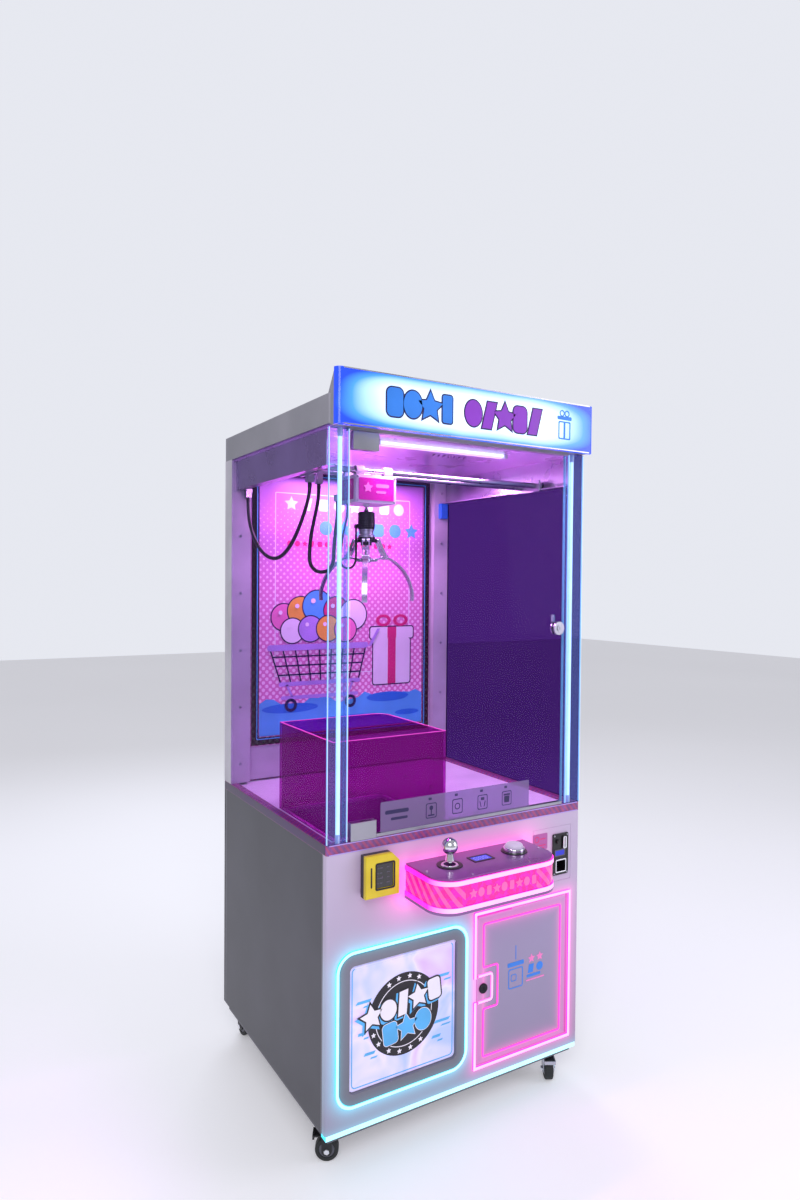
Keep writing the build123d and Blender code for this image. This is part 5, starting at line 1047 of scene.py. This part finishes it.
# ---------------------------------------------------------------- coin mechanism and card reader
coin_lo, coin_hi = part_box("coin_mech")
coin_x = (coin_lo.x + coin_hi.x) / 2
panel_face = -board_lo.y
coin_face = panel_face + 0.004
show_x, show_z = coin_x - 0.004, coin_lo.z + 0.064
cutouts("coin_display", "front", coin_face, layer(0, 0.0008,
                                                  rounded_box(show_x, show_z, 0.034, 0.014, 0.002)), lcd_blue)
cutouts("coin_display_bezel", "front", coin_face, layer(
    0, 0.0016, box_ring(show_x, show_z, 0.040, 0.020, 0.003, 0.003, 0.002)), abs_grey, bevel=0.0003)
cutouts("coin_cup_trim", "front", coin_face, layer(
    0, 0.0022, box_ring(coin_x, coin_lo.z + 0.026, 0.040, 0.038, 0.003, 0.00325, 0.002)), chrome,
        bevel=0.0005)
slot_x, slot_z = coin_hi.x - 0.017, coin_hi.z - 0.026
cutouts("coin_slot_trim", "front", coin_face + 0.004, layer(
    0, 0.0012, (rounded_box(slot_x, slot_z, 0.0125, 0.0345, 0.003),
                rounded_box(slot_x, slot_z, 0.0032, 0.0302, 0.0012))), chrome, bevel=0.0003)
TO_FRONT, TO_BACK = (0, -1, 0), (0, 1, 0)
screws("coin_plate_screws", [((coin_lo.x + u, -coin_face, coin_lo.z + v), TO_FRONT)
                             for u in (0.005, 0.053) for v in (0.005, 0.114)], 0.0028, zinc)
note_x, note_z = coin_lo.x - 0.046, coin_hi.z - 0.014
cutouts("coin_note_plate", "front", panel_face, layer(
    0, 0.0008, rounded_box(note_x, note_z, 0.054, 0.046, 0.003)), film["orchid"])
cutouts("coin_note_marks", "front", panel_face, layer(
    0.0008, 0.0011, disc_ring(note_x - 0.012, note_z + 0.008, 0.009, 0.0065),
    slanted(note_x + 0.010, note_z + 0.008, 0.020, 0.003, 0),
    slanted(note_x, note_z - 0.010, 0.040, 0.003, 0),
    slanted(note_x, note_z - 0.017, 0.030, 0.0025, 0)), film["rose"])
reader_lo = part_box("card_reader")[0]
bezel_face, reader_face = -reader_lo.y, -(reader_lo.y + 0.003)
reader_x, reader_z = reader_lo.x + 0.054, reader_lo.z + 0.052
cutouts("reader_screen", "front", reader_face, layer(
    -0.0002, 0.0012, rounded_box(reader_x, reader_z, 0.0465, 0.0585, 0.002)), glass_black, bevel=0.0004)
icons = []
for row in range(4):
    z = reader_z + 0.020 - row * 0.0125
    icons += [rounded_box(reader_x - 0.011 + col * 0.020, z, 0.010 - 0.003 * ((row + col) % 2), 0.0024, 0.001)
              for col in range(2)]
    icons.append(round_disc(reader_x - 0.0195, z, 0.0016, 14))
cutouts("reader_marks", "front", reader_face, layer(0.0012, 0.0014, *icons), abs_grey)
cutouts("reader_lip", "front", bezel_face, layer(
    0, 0.0012, box_ring(reader_x, reader_z, 0.056, 0.068, 0.005, 0.00425, 0.003)), abs_black, bevel=0.0004)
cutouts("reader_slot", "front", bezel_face, layer(
    0, 0.0006, rounded_box(reader_lo.x + 0.015, reader_z, 0.004, 0.050, 0.0018)), abs_black)


# ---------------------------------------------------------------- shelf and trim details
band_lo, band_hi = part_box("control_band")
band_z = (band_lo.z + band_hi.z) / 2
band_marks = []
for i in range(9):
    x = 0.007 + (i - 4) * 0.024
    band_marks.append((star(x, band_z, 0.013), round_disc(x, band_z, 0.0095, squash=1.2),
                       rounded_box(x, band_z, 0.014, 0.023, 0.004))[i % 3])
cutouts("band_marks", "front", -band_lo.y, layer(0, 0.0008, *band_marks),
        glow_of("lit_salmon_film", "#f0309c", "#ff6ab0", 0.9))
screws("shelf_under_screws", [((x, y, shelf_lo.z), DOWN) for x in (-0.12, 0.135) for y in (-0.41, -0.33)],
       0.004, zinc)
trim_lo, trim_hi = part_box("ledge_trim")
LIP_W, LIP_H = 0.806, 0.0024
cutouts("ledge_lip_front", "front", -trim_lo.y, layer(0, 0.0012, *(
    rounded_box(0, z, LIP_W, LIP_H, 0.0008) for z in (trim_hi.z - LIP_H / 2, trim_lo.z + LIP_H / 2))),
        film["lilac"])
trim_y, trim_z = (trim_lo.y + trim_hi.y) / 2, (trim_lo.z + trim_hi.z) / 2
# Dark purple film over the trim's end faces, where its print runs round: painted shade.
for facing, flip in (("left", -1), ("right", 1)):
    cutouts("ledge_side_" + facing, facing, trim_hi.x, layer(0, 0.0007, rounded_box(
        flip * trim_y, trim_z, trim_hi.y - trim_lo.y - 0.014, trim_hi.z - trim_lo.z - 0.003, 0.001)),
            trim_side_painted_shade)


# ---------------------------------------------------------------- glass door
pane_lo, pane_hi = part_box("glass_door")
pane_face = -pane_lo.y
STRIP_W, STRIP_H = 0.480, 0.076
strip_z = pane_lo.z + 0.008 + STRIP_H / 2
cutouts("door_strip", "front", pane_face, layer(0, 0.0006,
                                                rounded_box(-0.020, strip_z, STRIP_W, STRIP_H, 0.003)),
        film_strip, "glass_door")
STEP_PITCH, FIRST_STEP = 0.083, -0.108
step_x = [FIRST_STEP + i * STEP_PITCH for i in range(4)]
frames = [box_ring(x, strip_z - 0.003, 0.034, 0.040, 0.005, 0.0025, 0.004) for x in step_x]
# Plain pictograms: a stick, a button, a claw and a parcel.
pictograms = [
    round_disc(step_x[0], strip_z + 0.004, 0.006),
    rounded_box(step_x[0], strip_z - 0.006, 0.003, 0.014, 0.001),
    rounded_box(step_x[0], strip_z - 0.015, 0.020, 0.004, 0.001),
    disc_ring(step_x[1], strip_z - 0.003, 0.009, 0.006),
    rounded_box(step_x[2], strip_z + 0.006, 0.012, 0.008, 0.002),
    slanted(step_x[2] - 0.007, strip_z - 0.008, 0.003, 0.016, -0.002),
    slanted(step_x[2] + 0.007, strip_z - 0.008, 0.003, 0.016, 0.002),
    rounded_box(step_x[3], strip_z - 0.006, 0.018, 0.018, 0.002),
    rounded_box(step_x[3], strip_z + 0.007, 0.022, 0.005, 0.001)]
cutouts("door_strip_icons", "front", pane_face,
        layer(0.0006, 0.0008, *frames) + layer(0.0006, 0.0009, *pictograms), film["navy"], "glass_door")
cutouts("door_strip_marks", "front", pane_face, layer(
    0.0006, 0.0008, rounded_box(-0.212, strip_z + 0.010, 0.070, 0.010, 0.004),
    rounded_box(-0.205, strip_z - 0.008, 0.050, 0.007, 0.003),
    *(rounded_box(x - 0.004, strip_z + 0.028, 0.010, 0.007, 0.002) for x in step_x)),
        film["navy"], "glass_door")
cutouts("door_edge", "front", pane_face - 0.004, layer(-0.0038, 0.0038, rounded_box(
    pane_hi.x + 0.0006, (pane_lo.z + pane_hi.z) / 2, 0.0012, pane_hi.z - pane_lo.z, 0.0004)), edge_glass,
        "glass_door")


# ---------------------------------------------------------------- corner posts and rear posts
corner_lo, corner_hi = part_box("corner_posts")
POST_IN = 0.055
cutouts("post_edges", "front", -corner_lo.y, layer(-0.0045, 0.0004, *(
    rounded_box(x, (corner_lo.z + corner_hi.z) / 2, 0.0016, corner_hi.z - corner_lo.z - 0.004, 0.0006)
    for x in (corner_lo.x + 0.001, corner_lo.x + POST_IN, corner_hi.x - POST_IN, corner_hi.x - 0.001))),
        edge_lit)
tube_lo, tube_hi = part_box("light_tubes")
TUBE_R = 0.0055
for label, x in (("left", TUBE_R - tube_hi.x), ("right", tube_hi.x - TUBE_R)):
    turned("tube_caps_" + label, [(0.0068, 0), (0.0068, 0.018), (0.0060, 0.021), (0.0056, 0.021)],
           [((x, tube_lo.y + TUBE_R, corner_lo.z), UP), ((x, tube_lo.y + TUBE_R, corner_hi.z), DOWN)],
           "cabinet", abs_white)
wall_lo, wall_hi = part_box("rear_posts")
wall_xs = (wall_lo.x + 0.031, wall_hi.x - 0.031)
screws("rear_post_screws", [((x, y, wall_lo.z + 0.06 + i * 0.18), outward) for x in wall_xs for i in range(6)
                            for y, outward in ((wall_lo.y, TO_FRONT), (wall_hi.y, TO_BACK))], 0.0045, zinc)
cutouts("rear_post_switch", "front", -wall_lo.y, layer(
    0, 0.018, rounded_box(wall_xs[1], wall_hi.z - 0.12, 0.030, 0.055, 0.004)), film["blue"], bevel=0.002)


# ---------------------------------------------------------------- ceiling light bars
ceiling_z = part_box("ceiling_panel")[0].z
BAR_YS, BAR_L, BAR_DEEP = (-0.1735, 0.3065), 0.404, 0.012
cutouts("light_bar_diffusers", "below", 0.008 - ceiling_z, layer(
    0, 0.003, *(rounded_box(0, y, BAR_L, 0.0145, 0.006) for y in BAR_YS)), led_ceiling, bevel=0.001)
cutouts("light_bar_ends", "below", -ceiling_z, layer(0, BAR_DEEP, *(
    rounded_box(x, y, 0.012, 0.024, 0.003) for y in BAR_YS for x in (-0.212, 0.212))), abs_white, bevel=0.001)


# ---------------------------------------------------------------- gantry, winch and claw
winch_x, winch_y, winch_foot = -0.198, -0.0935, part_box("trolley")[0].z
WINCH_D, WINCH_H = 0.110, 0.073
winch_front, winch_z = -(winch_y - WINCH_D / 2), winch_foot + WINCH_H / 2
cutouts("winch_face", "front", winch_front, layer(
    0, 0.0012, rounded_box(winch_x, winch_z, 0.107, 0.059, 0.004)), gloss_magenta, "trolley")
cutouts("winch_face_marks", "front", winch_front, layer(
    0.0012, 0.0016, star(winch_x - 0.026, winch_z + 0.004, 0.015),
    rounded_box(winch_x + 0.018, winch_z + 0.010, 0.040, 0.009, 0.004),
    rounded_box(winch_x + 0.014, winch_z - 0.007, 0.030, 0.006, 0.003)), film["pink"], "trolley")
for facing, level_at, u in (("left", 0.0625 - winch_x, -winch_y), ("right", winch_x + 0.0625, winch_y),
                            ("back", winch_y + WINCH_D / 2, -winch_x)):
    cutouts("winch_side_" + facing, facing, level_at,
            layer(0, 0.0010, rounded_box(u, winch_z, 0.086, 0.055, 0.004)), gloss_magenta, "trolley")
screws("winch_screws", [((winch_x + u, -winch_front, winch_foot + v), TO_FRONT)
                        for u in (-0.056, 0.056) for v in (0.005, 0.068)], 0.0032, zinc, "trolley")
turned("cord_bush", [(0.0095, 0), (0.0095, 0.004), (0.0065, 0.007), (0.0030, 0.007)],
       [((winch_x, winch_y, winch_foot), DOWN)], "trolley", abs_white)
coil_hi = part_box("claw_coil")[1]
coil_top = coil_hi.z - 0.004
ribs = [(0.0200, 0.002), (0.0226, 0.002)]
for i in range(9):
    ribs += [(r, 0.004 + i * 0.0046 + z)
             for r, z in ((0.0232, 0), (0.0238, 0.0008), (0.0238, 0.0026), (0.0232, 0.0034))]
turned("coil_ribs", ribs + [(0.0226, 0.0445), (0.0200, 0.0445)],
       [((winch_x, winch_y, coil_top - 0.0475), UP)], "claw_head", abs_black, sides=40, ring=True)
turned("coil_collar", [(0.0160, 0), (0.0190, 0), (0.0225, 0.002), (0.0225, 0.010), (0.0195, 0.012),
                       (0.0195, 0.020), (0.0215, 0.022), (0.0215, 0.0255), (0.0190, 0.0258),
                       (0.0160, 0.0258)],
       [((winch_x, winch_y, coil_top - 0.0735), UP)], "claw_head", steel_satin, sides=40, ring=True)
turned("coil_eye", [(0.0068, 0), (0.0068, 0.003), (0.0045, 0.005), (0.0022, 0.011), (0.0016, 0.013)],
       [((winch_x, winch_y, coil_hi.z), UP)], "claw_head", zinc)
# Braided hoist cord between the coil and the winch.
cord_top, cord_foot = winch_foot + 0.003, coil_hi.z - 0.0005
hoist_path = [Vector((winch_x, winch_y, cord_top + (cord_foot - cord_top) * i / 40)) for i in range(41)]
hoist = bpy.data.objects.new("hoist_line", tube_mesh(
    "hoist_line", hoist_path, lambda walked: 0.0015 + 0.00018 * math.sin(walked * 2600), 10))
bpy.context.scene.collection.objects.link(hoist)
hoist.data.materials.append(braid_white)
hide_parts("hoist_cord")
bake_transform(hoist)
# Caps on the ends of the finger and link pins.
HUB_R, LUG_R, PIN_HALF = 0.0213, 0.0352, 0.006
for body, radius, z in (("claw_plunger", HUB_R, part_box("claw_plunger")[0].z + 0.008),
                        ("claw_head", LUG_R, coil_top - 0.0779)):
    ends = []
    for turn in (0, 120, 240):
        c, s = math.cos(math.radians(turn)), math.sin(math.radians(turn))
        centre, tangent = Vector((winch_x + radius * c, winch_y + radius * s, z)), Vector((-s, c, 0))
        ends += [(centre + tangent * PIN_HALF, tangent), (centre - tangent * PIN_HALF, -tangent)]
    turned(body + "_pin_caps", [(0.0032, 0), (0.0032, 0.0008), (0.0022, 0.0016), (0, 0.0017)], ends, body,
           steel_satin, sides=16)


# ---------------------------------------------------------------- chute guard trim
guard_lo, guard_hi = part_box("chute_guard")


def guard_outline(inset):
    """The guard's plan: square corners and one large round at the rear right."""
    x0, x1, y0, y1 = guard_lo.x + inset, guard_hi.x - inset, guard_lo.y + inset, guard_hi.y - inset
    r = 0.040 - inset
    arc = [(x1 - r + r * math.cos(math.radians(a)), y1 - r
            + r * math.sin(math.radians(a))) for a in range(0, 91, 10)]
    return [(x0, y0), (x1, y0)] + arc + [(x0, y1)]


cutouts("guard_rim", "top", guard_hi.z, layer(0, 0.0008, (guard_outline(0.0002), guard_outline(0.0048))), rim)


# ---------------------------------------------------------------- casters
JOINTS = {joint["name"]: joint for joint in frame["joints"]}
NUT = [(0.0075, 0), (0.0075, 0.0042), (0.0062, 0.0052), (0, 0.0056)]
HUB = [(0.0195, 0), (0.0195, 0.0010), (0.0150, 0.0022), (0.0110, 0.0010), (0.0080, 0.0022), (0.0062, 0.0022)]
NUT_OUT, HUB_OUT, RIB_HALF_W, RIB_HALF_L, RIB_UP = 0.0164, 0.0094, 0.0011, 0.0135, 0.0016
for corner in CORNERS:
    axle, centre = Vector(JOINTS["axle_" + corner]["axis"]), Vector(JOINTS["axle_" + corner]["pos_m"])
    stem = Vector(JOINTS["swivel_" + corner]["pos_m"])
    forward = (centre - Vector((stem.x, stem.y, centre.z))).normalized()
    for name, profile, out_by, finish, sides in (("axle_nuts_", NUT, NUT_OUT, chrome, 6),
                                                 ("hub_discs_", HUB, HUB_OUT, abs_grey, 36)):
        turned(name + corner, profile, [(centre + axle * out_by, axle), (centre - axle * out_by, -axle)],
               "wheel_" + corner, finish, sides=sides)
    # Grip ribs across the brake pedal.
    pedal = bmesh.new()
    for i in range(6):
        spot = stem + forward * (0.0305 + 0.0045 * i)
        low, high = ([pedal.verts.new(spot + forward * a * RIB_HALF_W + axle * b * RIB_HALF_L
                                      + Vector((0, 0, up)))
                      for a, b in ((-1, -1), (1, -1), (1, 1), (-1, 1))] for up in (0, RIB_UP))
        pedal.faces.new(low)
        pedal.faces.new(high)
        for k in range(4):
            pedal.faces.new((low[k], low[(k + 1) % 4], high[(k + 1) % 4], high[k]))
    finish_piece("pedal_ribs_" + corner, mesh_of("pedal_ribs_" + corner, pedal), "fork_"
                 + corner, abs_black, 0.0004)


# ---------------------------------------------------------------- back of the cabinet and roof
back_lo, back_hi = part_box("lower_rear_panel")
BACK_X = 0.385
back_places = [(x, z) for x in (-BACK_X, 0, BACK_X) for z in (back_lo.z + 0.025, back_hi.z - 0.025)]
back_places += [(x, (back_lo.z + back_hi.z) / 2) for x in (-BACK_X, BACK_X)]
screws("rear_panel_screws", [((x, back_hi.y, z), TO_BACK) for x, z in back_places], 0.005, zinc)
wall_back, SKIN_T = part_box("back_wall")[1].y, 0.0012
cutouts("rear_wall_skin", "back", wall_back, layer(0, SKIN_T, rounded_box(
    0, (wall_lo.z + wall_hi.z) / 2, 0.686, wall_hi.z - wall_lo.z - 0.008, 0.004)), powder_roof, bevel=0.0004)
screws("rear_wall_screws", [((x, wall_back + SKIN_T, wall_lo.z + 0.05 + i * 0.229), TO_BACK)
                            for x in (-0.325, 0.325) for i in range(5)], 0.0045, zinc)
ROOF_Z = 1.910
screws("roof_screws", [((x, y, ROOF_Z), UP) for x in (-0.38, 0, 0.38) for y in (-0.2, 0.42)], 0.005, zinc)


# ---------------------------------------------------------------- floor and light
REACH = 14.0
floor_mesh = bpy.data.meshes.new("studio_floor")
floor_mesh.from_pydata([(-REACH, -REACH, 0), (REACH, -REACH, 0), (REACH, REACH, 0), (-REACH, REACH, 0)], [],
                       [(0, 1, 2, 3)])
floor = bpy.data.objects.new("studio_floor", floor_mesh)
bpy.context.scene.collection.objects.link(floor)
paper = finish_of("studio_paper", "#eeedf1", 0.75, grain_mm=30, depth_mm=0.1, patch_mm=4000, spread=0.01)
paper_shader = [node for node in paper.node_tree.nodes if node.type == "BSDF_PRINCIPLED"][0]
paper_shader.inputs["Emission Color"].default_value = linear("#eeedf1")
paper_shader.inputs["Emission Strength"].default_value = 0.28
floor_mesh.materials.append(paper)

world = bpy.data.worlds.new("studio")
world.use_nodes = True
bpy.context.scene.world = world
# The backdrop looks white; the light that it gives is dimmer.
sky = world.node_tree.nodes["Background"]
sky.inputs[0].default_value = linear("#eceef6")
seen = add(world.node_tree, "LightPath").outputs["Is Camera Ray"]
level = add(world.node_tree, "MapRange", {"To Min": 0.5, "To Max": 0.95}, {"Value": seen})
world.node_tree.links.new(level.outputs[0], sky.inputs[1])


def area_light(name, place, aim, size, power, colour):
    light = bpy.data.lights.new(name, "AREA")
    light.shape = "RECTANGLE"
    light.size, light.size_y = size
    light.energy = power
    light.color = linear(colour)[:3]
    lamp = bpy.data.objects.new(name, light)
    bpy.context.scene.collection.objects.link(lamp)
    lamp.location = place
    lamp.rotation_mode = "QUATERNION"
    lamp.rotation_quaternion = (Vector(aim) - Vector(place)).to_track_quat("-Z", "Y")
    return lamp


area_light("key", (-2.2, -3.4, 3.4), (0, 0, 0.9), (2.4, 2.4), 90, "#ffffff")
area_light("fill", (3.2, -2.6, 2.2), (0, 0, 0.9), (2.0, 2.4), 45, "#f2eeff")
area_light("rim", (0.5, 3.2, 3.2), (0, 0, 1.2), (2.4, 1.6), 50, "#eef2ff")
area_light("cabin_front", (0, -0.17, 1.80), (0, -0.12, 0.8), (0.40, 0.03), 6, "#f2a8ea")
area_light("cabin_rear", (0, 0.30, 1.80), (0, 0.28, 0.8), (0.40, 0.03), 6, "#f2a8ea")

bpy.context.scene.view_settings.view_transform = "Standard"
